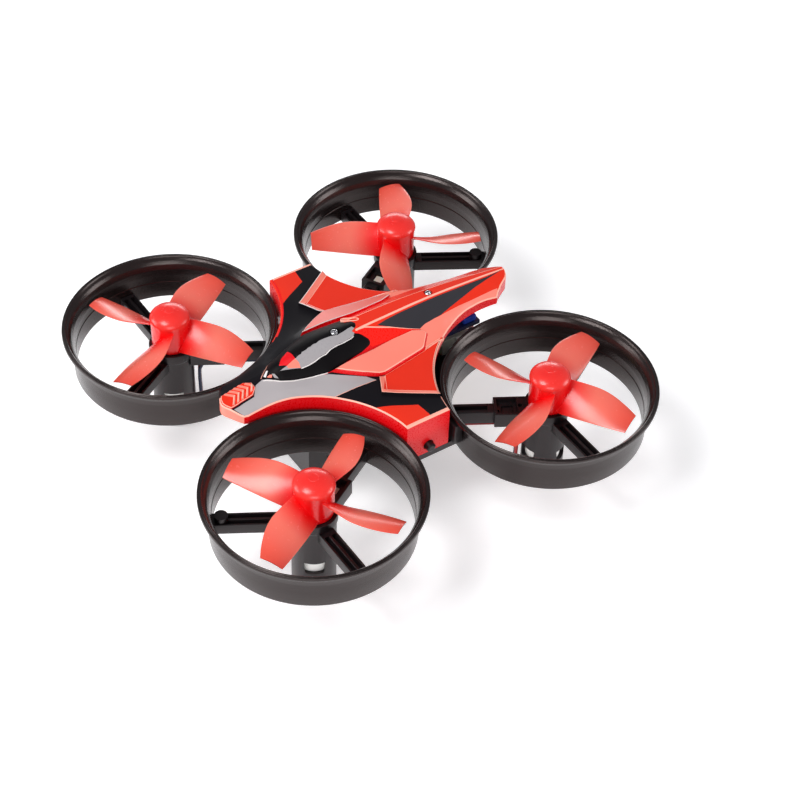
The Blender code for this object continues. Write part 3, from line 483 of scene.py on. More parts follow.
def spoke_solids(angle, with_boss):
    """A channelled spoke: two grooves between three ribs, with plain pads at both ends."""
    half = 1.4
    top = SPOKE_TOP - 1.0
    bottom = -DUCT_HEIGHT
    floor = top - 1.15
    grooved = [(-half, bottom), (half, bottom), (half, top), (1.05, top), (0.95, floor),
               (0.38, floor), (0.26, top), (-0.26, top), (-0.38, floor), (-0.95, floor),
               (-1.05, top), (-half, top)]
    plain = rectangle(half, bottom, top)
    solids = [prism(fillet(outline, 0.12, 3), start, stop, radial(angle))
              for outline, start, stop in ((grooved, 3.4, 16.95), (plain, 3.4, 5.0),
                                           (plain, 16.0, 16.9))]
    if with_boss:
        solids.append(prism(circle(1.15), bottom + 0.2, SPOKE_TOP, upright(angle, 15.2)))
    return solids


def make_mount_base():
    """The mount of the front left duct; the other three are its mirror images."""
    profile = ((4.02, HOLDER_TOP + 0.3), (4.02, HOLDER_TOP - 1.5),
               (HOLDER_OUTER, HOLDER_TOP - 1.8), (HOLDER_OUTER, FLOOR), (HOLDER_BORE, FLOOR),
               (HOLDER_BORE, HOLDER_TOP + 0.3))
    mount = tool(*lathe(fillet(profile, 0.18, 3), 64))
    tools = []
    for degrees, with_boss in ((0.0, False), (240.0, True)):
        tools += [join(solid) for solid in spoke_solids(math.radians(degrees), with_boss)]
    inward = math.radians(120.0)
    bottom = -DUCT_HEIGHT
    arm = fillet(rectangle(1.2, bottom, -5.8), 0.15, 3)
    box = fillet(rectangle(2.3, bottom, SPOKE_TOP), 0.2, 3)
    window = fillet(rectangle(1.05, -0.9, 0.9), 0.15, 2)
    tools += [
        join(prism(arm, 3.4, 16.95, radial(inward))),
        join(prism(box, 3.3, 9.3, radial(inward))),
        cut(prism(rectangle(1.75, -6.3, -4.6), 5.3, 8.8, radial(inward))),
        join(prism(rectangle(0.45, bottom, -5.9), 8.4, 12.5, radial(inward))),
        cut(prism(rectangle(0.55, -6.6, -5.0), 10.4, 16.2, radial(inward))),
        cut(prism(window, bottom - 1, -4.0, upright(inward, GUIDE_REACH))),
        cut(prism(circle(0.42, 16), -6.9, -4.9, upright(inward, 4.75))),
        cut(prism(circle(0.45, 20, -6.9), 8.0, 10.0, radial(inward))),
    ]
    for degrees in (90.0, 210.0, 330.0):
        hole = fillet([(-1.6, -16.4), (1.6, -16.4), (1.85, -13.9), (-1.85, -13.9)], 0.3, 3)
        tools.append(cut(prism(hole, 2.2, 5.0, radial(math.radians(degrees)))))
    notch = rectangle(1.2, FLOOR - 1.0, FLOOR + 1.5)
    tools.append(cut(prism(notch, 2.2, 5.0, radial(inward))))
    return combined(mount, tools)


def make_mounts():
    base = make_mount_base()
    guide = prism(fillet(rectangle(0.9, -0.75, 0.75), 0.2, 3), -8.0, -6.55, level)
    for corner, side_x, side_y, _, _ in CORNERS:
        mount = duplicate(base, f"motor_holder_{corner}")
        mirrored(mount, side_x, -side_y)
        placed(mount, side_x * DUCT_OFFSET, side_y * DUCT_OFFSET)
        on_body(mount, "frame", "mount_plastic", f"motor_mount_{corner}")
        guide_x = -side_x * GUIDE_REACH * 0.5
        guide_y = -side_y * GUIDE_REACH * math.sin(math.radians(60.0))
        look = "frame" if corner == "rear_left" else "nylon"
        insert = placed(shape(f"lead_guide_{corner}", look, *guide),
                        side_x * DUCT_OFFSET + guide_x, side_y * DUCT_OFFSET + guide_y,
                        math.atan2(guide_y, guide_x))
        on_body(insert, "frame", "mount_plastic")
    bpy.data.objects.remove(base)


# --- Motors ---------------------------------------------------------------------------

def make_motors():
    top = -5.3
    bottom = top - MOTOR_LENGTH
    cap_top = bottom + 1.6
    can = fillet(((1.1, top), (2.7, top), (MOTOR_RADIUS, top - 0.3), (MOTOR_RADIUS, cap_top + 0.5),
                  (2.96, cap_top + 0.4), (2.96, cap_top + 0.06), (0.65, cap_top + 0.06),
                  (0.65, top - 0.35), (1.1, top - 0.35)), 0.12, 3)
    cap = ((0.0, bottom + 0.15), (0.7, bottom + 0.15), (0.8, bottom), (2.5, bottom),
           (2.75, bottom + 0.2), (2.9, bottom + 0.5), (2.9, cap_top), (0.0, cap_top))
    bush = fillet(((0.56, top + 0.15), (1.0, top + 0.15), (1.0, top - 0.3), (0.56, top - 0.3)),
                  0.08, 2)
    shaft = ((0.0, -0.6), (0.38, -0.6), (0.5, -0.75), (0.5, cap_top + 0.7),
             (0.45, cap_top + 0.6), (0.0, cap_top + 0.6))
    label = fillet(((MOTOR_RADIUS, -13.4), (3.06, -13.4), (3.06, -16.9), (MOTOR_RADIUS, -16.9)),
                   0.02, 2)
    for corner, side_x, side_y, _, _ in CORNERS:
        spot = (side_x * DUCT_OFFSET, side_y * DUCT_OFFSET)
        verts, faces = lathe(can, 56)
        bush_verts, bush_faces = lathe(bush, 32)
        shift = len(verts)
        verts += bush_verts
        faces += [tuple(i + shift for i in face) for face in bush_faces]
        body = placed(shape(f"motor_shell_{corner}", "can", verts, faces), *spot)
        on_body(body, "frame", "motor_can_steel", f"motor_can_{corner}")
        band = placed(shape(f"motor_label_{corner}", "paper", *lathe(label, 56)), *spot)
        on_body(band, "frame", "motor_can_steel")
        end = placed(shape(f"motor_end_{corner}", "nylon", *domed(cap, 40)), *spot)
        on_body(end, "frame", "motor_cap_nylon", f"motor_cap_{corner}")
        pin = placed(shape(f"motor_pin_{corner}", "shaft", *domed(shaft, 24)), *spot)
        on_body(pin, f"rotor_{corner}", "shaft_steel", f"motor_shaft_{corner}")


# --- Propellers -----------------------------------------------------------------------

BLADE_LEAD = ((2.4, 2.4, 0.30), (3.6, 2.75, 0.20), (5.0, 3.15, 0.08), (6.5, 3.55, -0.08),
              (8.0, 3.82, -0.22), (9.5, 3.85, -0.36), (11.0, 3.70, -0.55), (12.5, 3.38, -0.78),
              (14.0, 2.95, -1.00), (15.0, 2.58, -1.15), (15.8, 2.25, -1.25))
BLADE_TRAIL = ((2.4, 2.1, -4.10), (3.6, 2.1, -3.95), (5.0, 2.1, -3.75), (6.5, 2.1, -3.50),
               (8.0, 2.1, -3.25), (9.5, 2.05, -3.00), (11.0, 2.0, -2.78), (12.5, 1.9, -2.58),
               (14.0, 1.8, -2.40), (15.0, 1.7, -2.28), (15.8, 1.6, -2.20))


def sampled(table, x):
    """Read the columns of a table at x, along a smooth curve through its rows."""
    if x <= table[0][0]:
        return table[0][1:]
    if x >= table[-1][0]:
        return table[-1][1:]
    for i in range(len(table) - 1):
        if table[i][0] <= x <= table[i + 1][0]:
            break
    before = table[max(0, i - 1)]
    start, end = table[i], table[i + 1]
    after = table[min(len(table) - 1, i + 2)]
    width = end[0] - start[0]
    t = (x - start[0]) / width
    out = []
    for k in range(1, len(start)):
        slope_a = (end[k] - before[k]) / (end[0] - before[0]) * width
        slope_b = (after[k] - start[k]) / (after[0] - start[0]) * width
        out.append(start[k] * (2 * t ** 3 - 3 * t ** 2 + 1) + slope_a * (t ** 3 - 2 * t ** 2 + t)
                   + end[k] * (3 * t ** 2 - 2 * t ** 3) + slope_b * (t ** 3 - t ** 2))
    return out


def blade_solid(turning):
    """A thin, twisted and cambered blade with sharp edges and a straight tip."""
    stations = 30
    around = 24
    verts = []
    for station in range(stations):
        share = station / (stations - 1)
        x = BLADE_ROOT + (BLADE_TIP - BLADE_ROOT) * share
        lead, lead_z = sampled(BLADE_LEAD, x)
        trail, trail_z = sampled(BLADE_TRAIL, x)
        thick = (0.30 - 0.17 * share) * (0.7 if station == stations - 1 else 1.0)
        for k in range(around):
            angle = 2 * math.pi * k / around
            along = 0.5 - 0.5 * math.cos(angle)
            side = math.sin(angle)
            y = lead + (-trail - lead) * along
            camber = 0.50 * math.sin(math.pi * along) * (1.0 - 0.4 * share)
            z = lead_z + (trail_z - lead_z) * along + camber + side * thick
            verts.append((x, y * turning, z))
    return verts, ring_faces(stations, around)


def hub_solid():
    profile = [(0.0, 3.1)]
    for step in range(1, 16):
        angle = math.pi / 2 * (1 - step / 16)
        profile.append((3.60 * math.cos(angle), 1.25 + 1.85 * math.sin(angle)))
    profile += [(3.60, 1.20), (3.58, 1.08), (3.46, 0.98), (3.44, 0.5), (3.42, -4.45),
                (3.38, -4.6), (2.75, -4.6), (2.65, -4.45), (2.65, -2.6), (1.35, -2.4),
                (1.30, -4.2), (0.56, -4.3), (0.55, -0.4), (0.0, -0.4)]
    return domed(profile, 72)


def cap_ring():
    """A small plain raised ring on the hub's dome."""
    angles = [2 * math.pi * step / 14 for step in range(14)]
    return lathe([(0.85 + 0.10 * math.cos(angle), 3.02 + 0.08 * math.sin(angle))
                  for angle in angles], 48)


def make_propellers():
    shapes = {}
    for turning in (-1, 1):
        hub = tool(*hub_solid())
        tools = []
        for index in range(4):
            part = tool(*blade_solid(turning))
            part.data.transform(Matrix.Rotation(index * math.pi / 2, 4, "Z"))
            tools.append(("UNION", part))
        tools.append(join(cap_ring()))
        shapes[turning] = combined(hub, tools, 34.0)
    for corner, side_x, side_y, turning, first_blade in CORNERS:
        prop = duplicate(shapes[turning], f"propeller_moulding_{corner}")
        prop.data.materials.clear()
        prop.data.materials.append(MATERIALS["prop"])
        placed(prop, side_x * DUCT_OFFSET, side_y * DUCT_OFFSET, math.radians(first_blade))
        on_body(prop, f"rotor_{corner}", "propeller_plastic", f"propeller_{corner}")
    for obj in shapes.values():
        bpy.data.objects.remove(obj)


# --- Canopy: the height of its top surface --------------------------------------------

# Rows from nose to tail: y, crown z, crown edge (x, z), foot of its bevel (x, z),
# foot of the crown's flank (x, z), foot of the shoulder (x, z), z at the outer edge.
ROWS = (
    (-27.4, 1.30, 0.9, 1.30, 1.1, 1.28, 1.7, 1.25, 2.9, 1.00, 0.80),
    (-25.3, 1.60, 0.9, 1.60, 1.1, 1.58, 1.7, 1.50, 2.9, 1.15, 0.80),
    (-24.4, 1.90, 0.9, 1.90, 1.2, 1.86, 1.8, 1.80, 3.1, 1.40, 1.00),
    (-22.2, 2.35, 0.9, 2.35, 1.2, 2.32, 1.9, 2.25, 3.2, 1.85, 1.30),
    (-19.3, 3.15, 0.5, 3.15, 0.8, 3.12, 1.3, 3.05, 3.4, 2.55, 1.90),
    (-16.9, 4.30, 0.8, 4.10, 1.4, 3.80, 2.2, 3.30, 3.9, 2.90, 2.20),
    (-14.9, 5.10, 1.0, 4.90, 2.0, 4.30, 3.1, 3.15, 4.6, 2.90, 2.25),
    (-12.0, 6.00, 1.2, 5.80, 2.2, 5.10, 4.1, 3.32, 5.8, 3.00, 2.28),
    (-9.30, 6.60, 1.3, 6.40, 2.4, 5.70, 4.95, 3.70, 6.5, 3.20, 2.22),
    (-6.50, 6.85, 1.4, 6.65, 2.4, 6.00, 4.95, 4.00, 7.4, 3.10, 2.28),
    (-3.20, 6.95, 1.4, 6.75, 2.3, 6.10, 4.65, 4.25, 8.6, 2.80, 2.50),
    (-1.50, 7.15, 1.35, 7.10, 1.65, 6.90, 4.45, 4.32, 9.4, 2.58, 2.52),
    (0.30, 7.25, 1.30, 7.25, 1.6, 7.00, 4.4, 4.38, 9.2, 2.56, 2.52),
    (4.75, 7.32, 1.22, 7.32, 1.5, 7.06, 4.6, 4.42, 8.4, 2.54, 2.52),
    (7.80, 7.34, 1.14, 7.34, 1.42, 7.08, 4.75, 4.42, 7.9, 2.58, 2.55),
    (10.2, 7.32, 1.05, 7.32, 1.32, 7.06, 5.0, 4.45, 7.4, 2.80, 2.62),
    (13.0, 7.22, 0.95, 7.22, 1.2, 6.98, 4.85, 4.50, 6.9, 3.05, 2.85),
    (15.5, 7.10, 0.84, 7.10, 1.1, 6.86, 4.55, 4.50, 5.5, 3.40, 3.15),
    (18.5, 6.90, 0.75, 6.90, 1.0, 6.66, 4.0, 4.50, 4.6, 3.70, 3.35),
    (21.5, 6.62, 0.66, 6.62, 0.9, 6.40, 3.5, 4.50, 4.0, 3.75, 3.40),
    (26.7, 6.07, 0.42, 6.07, 0.64, 5.88, 2.85, 4.60, 3.7, 3.80, 3.35),
    (28.2, 5.90, 0.38, 5.90, 0.58, 5.72, 1.9, 4.95, 2.5, 4.60, 4.40),
    (29.6, 5.74, 0.34, 5.74, 0.52, 5.58, 1.5, 5.02, 1.9, 4.75, 4.70),
    (30.9, 5.58, 0.30, 5.58, 0.45, 5.45, 0.9, 5.15, 1.1, 5.05, 5.05),
)
FRONT_ARC = 19.5
REAR_ARC = 19.9
ARM_END = 22.2
NOSE = ((0.0, -27.4), (0.9, -27.15), (1.7, -26.7), (2.9, -26.05), (4.1, -25.3))
TAIL = ((3.5, 27.45), (2.85, 28.4), (2.3, 29.3), (1.8, 30.15), (1.35, 30.6), (0.65, 30.85),
        (0.0, 30.9))


def arc_points(radius, side_y, start, stop, steps):
    """Points of the canopy's edge along a duct, on the +X side."""
    out = []
    for step in range(steps + 1):
        angle = math.radians(start + (stop - start) * step / steps)
        out.append((DUCT_OFFSET - radius * math.cos(angle),
                    side_y * (DUCT_OFFSET - radius * math.sin(angle))))
    return out


def half_outline():
    """The canopy's edge in plan from nose to tail, for x of 0 and over."""
    front_stop = math.degrees(math.acos((DUCT_OFFSET - ARM_END) / FRONT_ARC))
    rear_stop = math.degrees(math.acos((DUCT_OFFSET - ARM_END) / REAR_ARC))
    points = list(NOSE)
    points += arc_points(FRONT_ARC, -1, -2.0, front_stop, ARC_STEPS)
    points += [(ARM_END, y) for y in (-2.2, 0.0, 2.0)]
    points += arc_points(REAR_ARC, 1, rear_stop, -8.0, ARC_STEPS)
    points += list(TAIL)
    return points


HALF = half_outline()


def edge_x(y):
    """Half width of the canopy at y."""
    if abs(y) <= 4.0:
        return ARM_END
    for (x1, y1), (x2, y2) in zip(HALF, HALF[1:]):
        if y1 <= y <= y2 and y2 > y1:
            return x1 + (x2 - x1) * (y - y1) / (y2 - y1)
    return 0.0


def height(x, y):
    """z of the canopy's top surface, in mm over the lip plane."""
    x = abs(x)
    y = min(max(y, ROWS[0][0]), ROWS[-1][0])
    for row, following in zip(ROWS, ROWS[1:]):
        if row[0] <= y <= following[0]:
            break
    t = (y - row[0]) / (following[0] - row[0])
    values = [a + (b - a) * t for a, b in zip(row, following)][1:]
    crown, edge_z = values[0], values[9]
    stops = [(0.0, crown)] + [(values[k], values[k + 1]) for k in (1, 3, 5, 7)]
    limit = edge_x(y)
    if limit > stops[-1][0] + 0.05:
        stops.append((limit, edge_z))
    for (x1, z1), (x2, z2) in zip(stops, stops[1:]):
        if x <= x2:
            return z1 + (z2 - z1) * (x - x1) / (x2 - x1)
    return stops[-1][1]


def inside(point, polygon):
    """Whether a closed outline holds a point."""
    x, y = point
    odd = False
    for (x1, y1), (x2, y2) in zip(polygon, polygon[1:] + polygon[:1]):
        if (y1 > y) != (y2 > y) and x < (x2 - x1) * (y - y1) / (y2 - y1) + x1:
            odd = not odd
    return odd


def area(polygon):
    """Area of a closed outline, positive when it runs anticlockwise."""
    return 0.5 * sum(x1 * y2 - x2 * y1
                     for (x1, y1), (x2, y2) in zip(polygon, polygon[1:] + polygon[:1]))


def inset(polygon, distance):
    """Move each side of an anticlockwise outline inwards."""
    out = []
    count = len(polygon)
    for i in range(count):
        before, here, after = (Vector(polygon[(i + k) % count]) for k in (-1, 0, 1))
        one = (here - before).normalized()
        two = (after - here).normalized()
        normal_one = Vector((-one.y, one.x))
        normal_two = Vector((-two.y, two.x))
        middle = normal_one + normal_two
        scale = 2.0 * distance / max(0.6, middle.length_squared)
        out.append(tuple(here + middle * scale))
    return out


def flipped(points):
    return [(-x, y) for x, y in points]


def on_side(points, side):
    return points if side > 0 else flipped(points)


def dense(points, step, closed=True):
    """The same outline with a point at least every step."""
    out = []
    ends = points[1:] + points[:1] if closed else points[1:]
    for (x1, y1), (x2, y2) in zip(points, ends):
        count = max(1, math.ceil(math.hypot(x2 - x1, y2 - y1) / step))
        for i in range(count):
            out.append((x1 + (x2 - x1) * i / count, y1 + (y2 - y1) * i / count))
    if not closed:
        out.append(points[-1])
    return out


def crease_lines():
    """The canopy's crease lines in plan, on both sides."""
    lines = []
    for column in (2, 4, 6, 8):
        line = [(row[column], row[0]) for row in ROWS if row[column] < edge_x(row[0]) - 0.1]
        lines += [line, flipped(line)]
    return lines


def triangulated(outline, lines, spacing):
    """Triangles that fill an outline, follow its lines and have points on a grid."""
    points = []
    edges = []

    def add(chain, closed):
        start = len(points)
        points.extend(Vector(p) for p in chain)
        count = len(chain)
        edges.extend((start + i, start + (i + 1) % count)
                     for i in range(count if closed else count - 1))

    add(outline, True)
    for line in lines:
        add(line, False)
    low_x, high_x = min(p[0] for p in outline), max(p[0] for p in outline)
    low_y, high_y = min(p[1] for p in outline), max(p[1] for p in outline)
    y = low_y + spacing / 2
    while y < high_y:
        x = low_x + spacing / 2
        while x < high_x:
            if inside((x, y), outline):
                points.append(Vector((x, y)))
            x += spacing
        y += spacing
    result = geometry.delaunay_2d_cdt(points, edges, [], 0, 1e-5)
    verts, _, faces = result[:3]
    kept = []
    for face in faces:
        centre = sum((verts[i] for i in face), Vector((0.0, 0.0))) / len(face)
        if inside(centre, outline) and len(set(face)) == 3:
            kept.append((tuple(face), tuple(centre)))
    return [tuple(v) for v in verts], kept


# --- Canopy: painted regions and raised plates, in plan, on the +X side ---------------

COCKPIT = [(0.0, -19.35), (0.7, -18.6), (1.4, -17.85), (2.17, -17.0), (2.65, -16.0),
           (3.1, -15.0), (3.8, -13.1), (4.45, -11.1), (4.85, -9.8), (5.0, -8.9), (4.98, -7.6),
           (4.85, -6.0), (4.7, -4.6), (4.5, -3.0), (4.3, -1.6), (4.1, -0.4), (3.9, 0.1),
           (3.55, 0.3), (3.1, 0.2), (2.2, -0.7), (1.3, -1.75), (1.0, -0.9), (0.0, -0.6)]
STRIP_TOP = [(5.42, -7.9), (6.3, -6.5), (7.8, -4.05), (9.1, -1.5), (9.2, -0.5), (8.95, 0.8),
             (8.37, 4.0), (7.74, 8.0), (7.55, 8.55), (5.9, 10.15), (5.45, 9.8), (4.82, 8.0),
             (4.8, 4.0), (4.9, 2.0), (5.1, 0.0), (5.22, -2.0), (5.33, -4.0), (5.4, -6.0)]
PANEL_INNER = [(7.3, 12.9), (8.05, 8.6), (8.75, 4.2), (9.35, 0.6), (9.78, -2.05)]
PANEL_FRONT = [(13.35, -3.9), (18.9, 4.6)]
BLACK_ARM = [(9.37, -10.69), (9.71, -7.69), (9.92, -4.74), (9.95, -2.6), (9.4, -1.2), (13.0, -3.0),
             (18.3, 5.2), (22.6, 5.0), (22.5, 0.5), (21.1, 0.45), (18.55, 0.15), (15.3, -6.0),
             (15.2, -6.7), (12.2, -8.8), (10.2, -10.7), (9.4, -11.4)]
GREY_NOSE = [(0.0, -19.2), (0.3, -20.75), (0.75, -21.1), (2.08, -22.1), (2.08, -26.05),
             (3.75, -25.25), (4.35, -24.7), (4.75, -24.0), (4.7, -22.6), (5.1, -19.6), (6.0, -17.1),
             (7.1, -15.0), (8.5, -12.9), (9.4, -11.4), (9.37, -10.69), (9.71, -7.69),
             (9.92, -4.74), (9.95, -2.6), (8.43, -3.77), (6.89, -6.51), (5.28, -9.2),
             (4.0, -11.5), (3.0, -14.5), (1.5, -17.5)]
NOSE_LINING = [(1.6, -26.4), (1.6, -22.1), (0.6, -21.05), (-0.6, -21.05), (-1.6, -22.1),
               (-1.6, -27.3), (-6.2, -26.0), (-6.2, -19.0), (-1.4, -18.4), (0.15, -18.9),
               (0.45, -20.6), (0.9, -20.75), (2.3, -21.85), (2.3, -25.9), (3.8, -25.2),
               (4.3, -24.6), (4.3, -26.0), (2.05, -26.9)]
# Painted shadow: black in the narrow gap at the foot of each strip's wall.
STRIP_FOOT_SHADOW = [(5.0, -9.6), (5.32, -9.4), (6.95, -6.7), (8.5, -4.0), (10.0, -2.8), (10.3, -1.6),
         (9.5, -0.6), (8.5, -2.6), (5.1, -8.7)]
SLATE = [(1.98, 2.6), (4.78, 9.69), (4.45, 10.9), (4.05, 14.65), (3.43, 16.88), (1.83, 23.2),
         (0.38, 30.3), (0.80, 26.5), (1.04, 21.5), (1.18, 18.0), (1.28, 15.0), (1.50, 10.2),
         (1.62, 7.0), (1.76, 4.5)]
TAIL_BAND = [(5.45, 9.9), (6.6, 9.5), (7.55, 8.5), (7.6, 11.0), (7.2, 13.4), (5.6, 17.4),
             (4.6, 21.4), (4.3, 26.6), (3.6, 27.3), (2.96, 27.52), (3.6, 18.6), (4.12, 14.3),
             (4.38, 11.1), (4.78, 9.69)]
# Painted light: the crown's flank facets, in a lighter red where light falls on them.
LIT_FACET = [(1.56, -2.23), (1.63, 0.21), (3.15, 5.26), (4.9, 9.9), (4.6, 5.0), (4.2, 0.2),
                (2.0, -1.4)]
# Painted shade: the groove inside each strip, in a darker red.
GROOVE_SHADE = [(5.6, -9.9), (4.6, -10.2), (4.3, -5.0), (3.9, -0.6), (4.2, 2.0), (4.5, 6.0),
               (4.7, 9.6), (5.6, 10.6), (6.0, 9.0), (6.0, 0.0), (6.0, -6.0)]
STRIPE = [(1.18, -16.44), (1.19, -15.01), (1.04, -13.27), (0.92, -12.6), (0.96, -12.1),
          (0.78, -11.9), (0.80, -11.0), (0.66, -10.6), (0.72, -10.1), (0.56, -9.5), (0.66, -8.9),
          (0.50, -8.3), (0.52, -7.4), (0.66, -6.04), (0.96, -4.88), (0.78, -3.42), (0.60, -2.6),
          (0.50, -1.7), (1.0, -1.35), (1.5, -1.7), (2.1, -2.3), (2.2, -3.0), (2.42, -4.4),
          (2.34, -5.2), (2.46, -5.9), (2.50, -7.1), (2.80, -7.9), (2.86, -8.7), (2.78, -9.3),
          (2.92, -10.0), (2.93, -10.7), (2.84, -11.85), (2.59, -13.13), (1.72, -15.13)]
MARK_RED = [(-1.3, -13.5), (1.01, -13.32), (1.19, -15.01), (0.42, -16.2), (-0.53, -15.17)]
MARK_SALMON = [(1.01, -13.32), (1.8, -13.08), (2.54, -13.16), (1.6, -15.05), (1.19, -15.1)]
TIP_WHITE = [(-0.1, -19.0), (-0.75, -18.0), (-0.35, -17.9), (0.35, -18.75)]
TIP_SALMON = [(0.4, -18.5), (0.5, -18.05), (0.75, -17.75), (1.2, -18.15), (0.9, -18.55)]
TIP_GREY = [(0.6, -17.75), (0.95, -17.4), (1.85, -17.1), (1.75, -17.35), (1.3, -17.65)]


def edge_band(points, width):
    """A thin painted band along a line, on its left side."""
    inner = []
    for i, point in enumerate(points):
        before = Vector(points[max(0, i - 1)])
        after = Vector(points[min(len(points) - 1, i + 1)])
        along = (after - before).normalized()
        inner.append((point[0] - along.y * width, point[1] + along.x * width))
    return points + inner[::-1]


def crown_bevel():
    """Outline of the bevel along the crown's edge, behind the cockpit, which is a painted
    highlight.
    """
    rows = [row for row in ROWS if row[0] >= -1.5]
    return ([(row[2] - 0.06, row[0]) for row in rows]
            + [(row[4] - 0.04, row[0]) for row in rows[::-1]])


def painted_regions():
    """(look, outline) pairs; the last one that holds a point wins."""
    both = [
        ("deep", GROOVE_SHADE),
        ("bright", LIT_FACET),
        ("black", BLACK_ARM),
        ("black", STRIP_FOOT_SHADOW),
        ("salmon", TAIL_BAND),
        # Painted highlights: light bands along the crown's edges and round the arm ends.
        ("edge", crown_bevel()),
        ("edge", [(21.6, -6.0), (22.4, -6.0), (22.4, 6.0), (21.6, 6.0)]),
    ]
    regions = []
    for look, outline in both:
        regions += [(look, outline), (look, flipped(outline))]
    regions += [
        # Painted highlight along the crease on the left flank.
        ("edge", edge_band([(1.58, -0.9), (1.66, 0.3), (3.15, 5.26), (4.85, 9.7)], 0.17)),
        ("slate", SLATE),
        ("black", flipped(GREY_NOSE)),
        ("black", NOSE_LINING),
        # Painted shade: a deeper red along the right arm's front edge.
        ("deep", flipped(edge_band([p for p in HALF if -12.0 < p[1] < -2.3], 0.50))),
        ("black", circle(1.4, v=FRONT_SCREW_Y)),
        ("grey", GREY_NOSE),
        # Painted highlight: a thin light line along the grey decal's edge.
        ("edge", edge_band([(9.40, -10.6), (9.72, -7.69), (9.93, -4.74), (9.95, -2.7)], 0.09)),
    ]
    return regions


def painted(point, regions, look):
    """The look of the last region that holds a point, or else the look given."""
    for region_look, region in regions:
        if inside(point, region):
            look = region_look
    return look


def skirt_z(x, y):
    """How far down the canopy's side reaches at a point of its edge."""
    x = abs(x)
    if x > 19.2 and abs(y) < 8.0:
        return -0.8 - 4.7 * min(1.0, (x - 19.2) / 1.0)
    if y < 0.0:
        return -0.8 - 4.5 * min(1.0, max(0.0, x - 14.5) / 3.0)
    return min(2.0, 0.4 + 0.11 * y)


def full_outline():
    """The whole edge in plan, anticlockwise from the nose."""
    right = HALF[1:-1]
    return [HALF[0], *right, HALF[-1], *flipped(right)[::-1]]


def rim_look(x, y):
    """Look of the bevel round the canopy: a painted highlight, darker on the right, in shade."""
    if x >= -1.8:
        return "edge"
    return "black" if y < -12.5 or (x < -18.6 and y > 2.0) else "red"


def make_canopy_shell():
    outline = dense(full_outline(), 0.9)
    top_edge = inset(outline, RIM_BEVEL)
    regions = painted_regions()
    lines = crease_lines()
    for _, region in regions:
        lines.append(dense(region + region[:1], 1.2, closed=False))
    plan, triangles = triangulated(top_edge, lines, 1.1)
    verts = [(x, y, height(x, y)) for x, y in plan]
    faces = [face for face, _ in triangles]
    looks = [painted(centre, regions, "red") for _, centre in triangles]
    # The rim: a bevel painted light as a highlight, and then the skirt.
    start = len(verts)
    count = len(outline)
    for (x, y), (foot_x, foot_y) in zip(top_edge, outline):
        z = height(x, y)
        bottom = min(skirt_z(foot_x, foot_y), z - 0.5)
        verts += [(x, y, z), (foot_x, foot_y, z - 0.20), (foot_x, foot_y, bottom)]
    for i in range(count):
        j = (i + 1) % count
        a, b = start + 3 * i, start + 3 * j
        faces += [(a, a + 1, b + 1, b), (a + 1, a + 2, b + 2, b + 1)]
        middle_x = (outline[i][0] + outline[j][0]) / 2
        middle_y = (outline[i][1] + outline[j][1]) / 2
        # The skirt is the shaded deep red, with a painted highlight of salmon on the nose's front.
        front = middle_y < -25.2 and middle_x > -1.8
        looks += [rim_look(middle_x, middle_y), "salmon" if front else "deep"]
    used = ["red", "deep", "bright", "black", "grey", "slate", "salmon", "edge"]
    shell = make("canopy_shell", verts, faces, used, looks, CANOPY_SHARP)
    wall = shell.modifiers.new("wall", "SOLIDIFY")
    wall.thickness = SHELL_WALL * MM
    wall.offset = -1.0
    apply_modifiers(shell)
    shell.data.set_sharp_from_angle(angle=math.radians(CANOPY_SHARP))
    peg_hole = circle(1.02, 28, PEG_Z)
    tools = [cut(prism(peg_hole, 20.5, 23.5, radial(angle))) for angle in (math.pi, 0.0)]
    tools += [cut(prism(circle(0.80, 28, y), 6.75, 9.0, level))
              for y in (FRONT_SCREW_Y, REAR_SCREW_Y)]
    combined(shell, tools, CANOPY_SHARP)
    return on_body(shell, "frame", "canopy_plastic", "canopy")


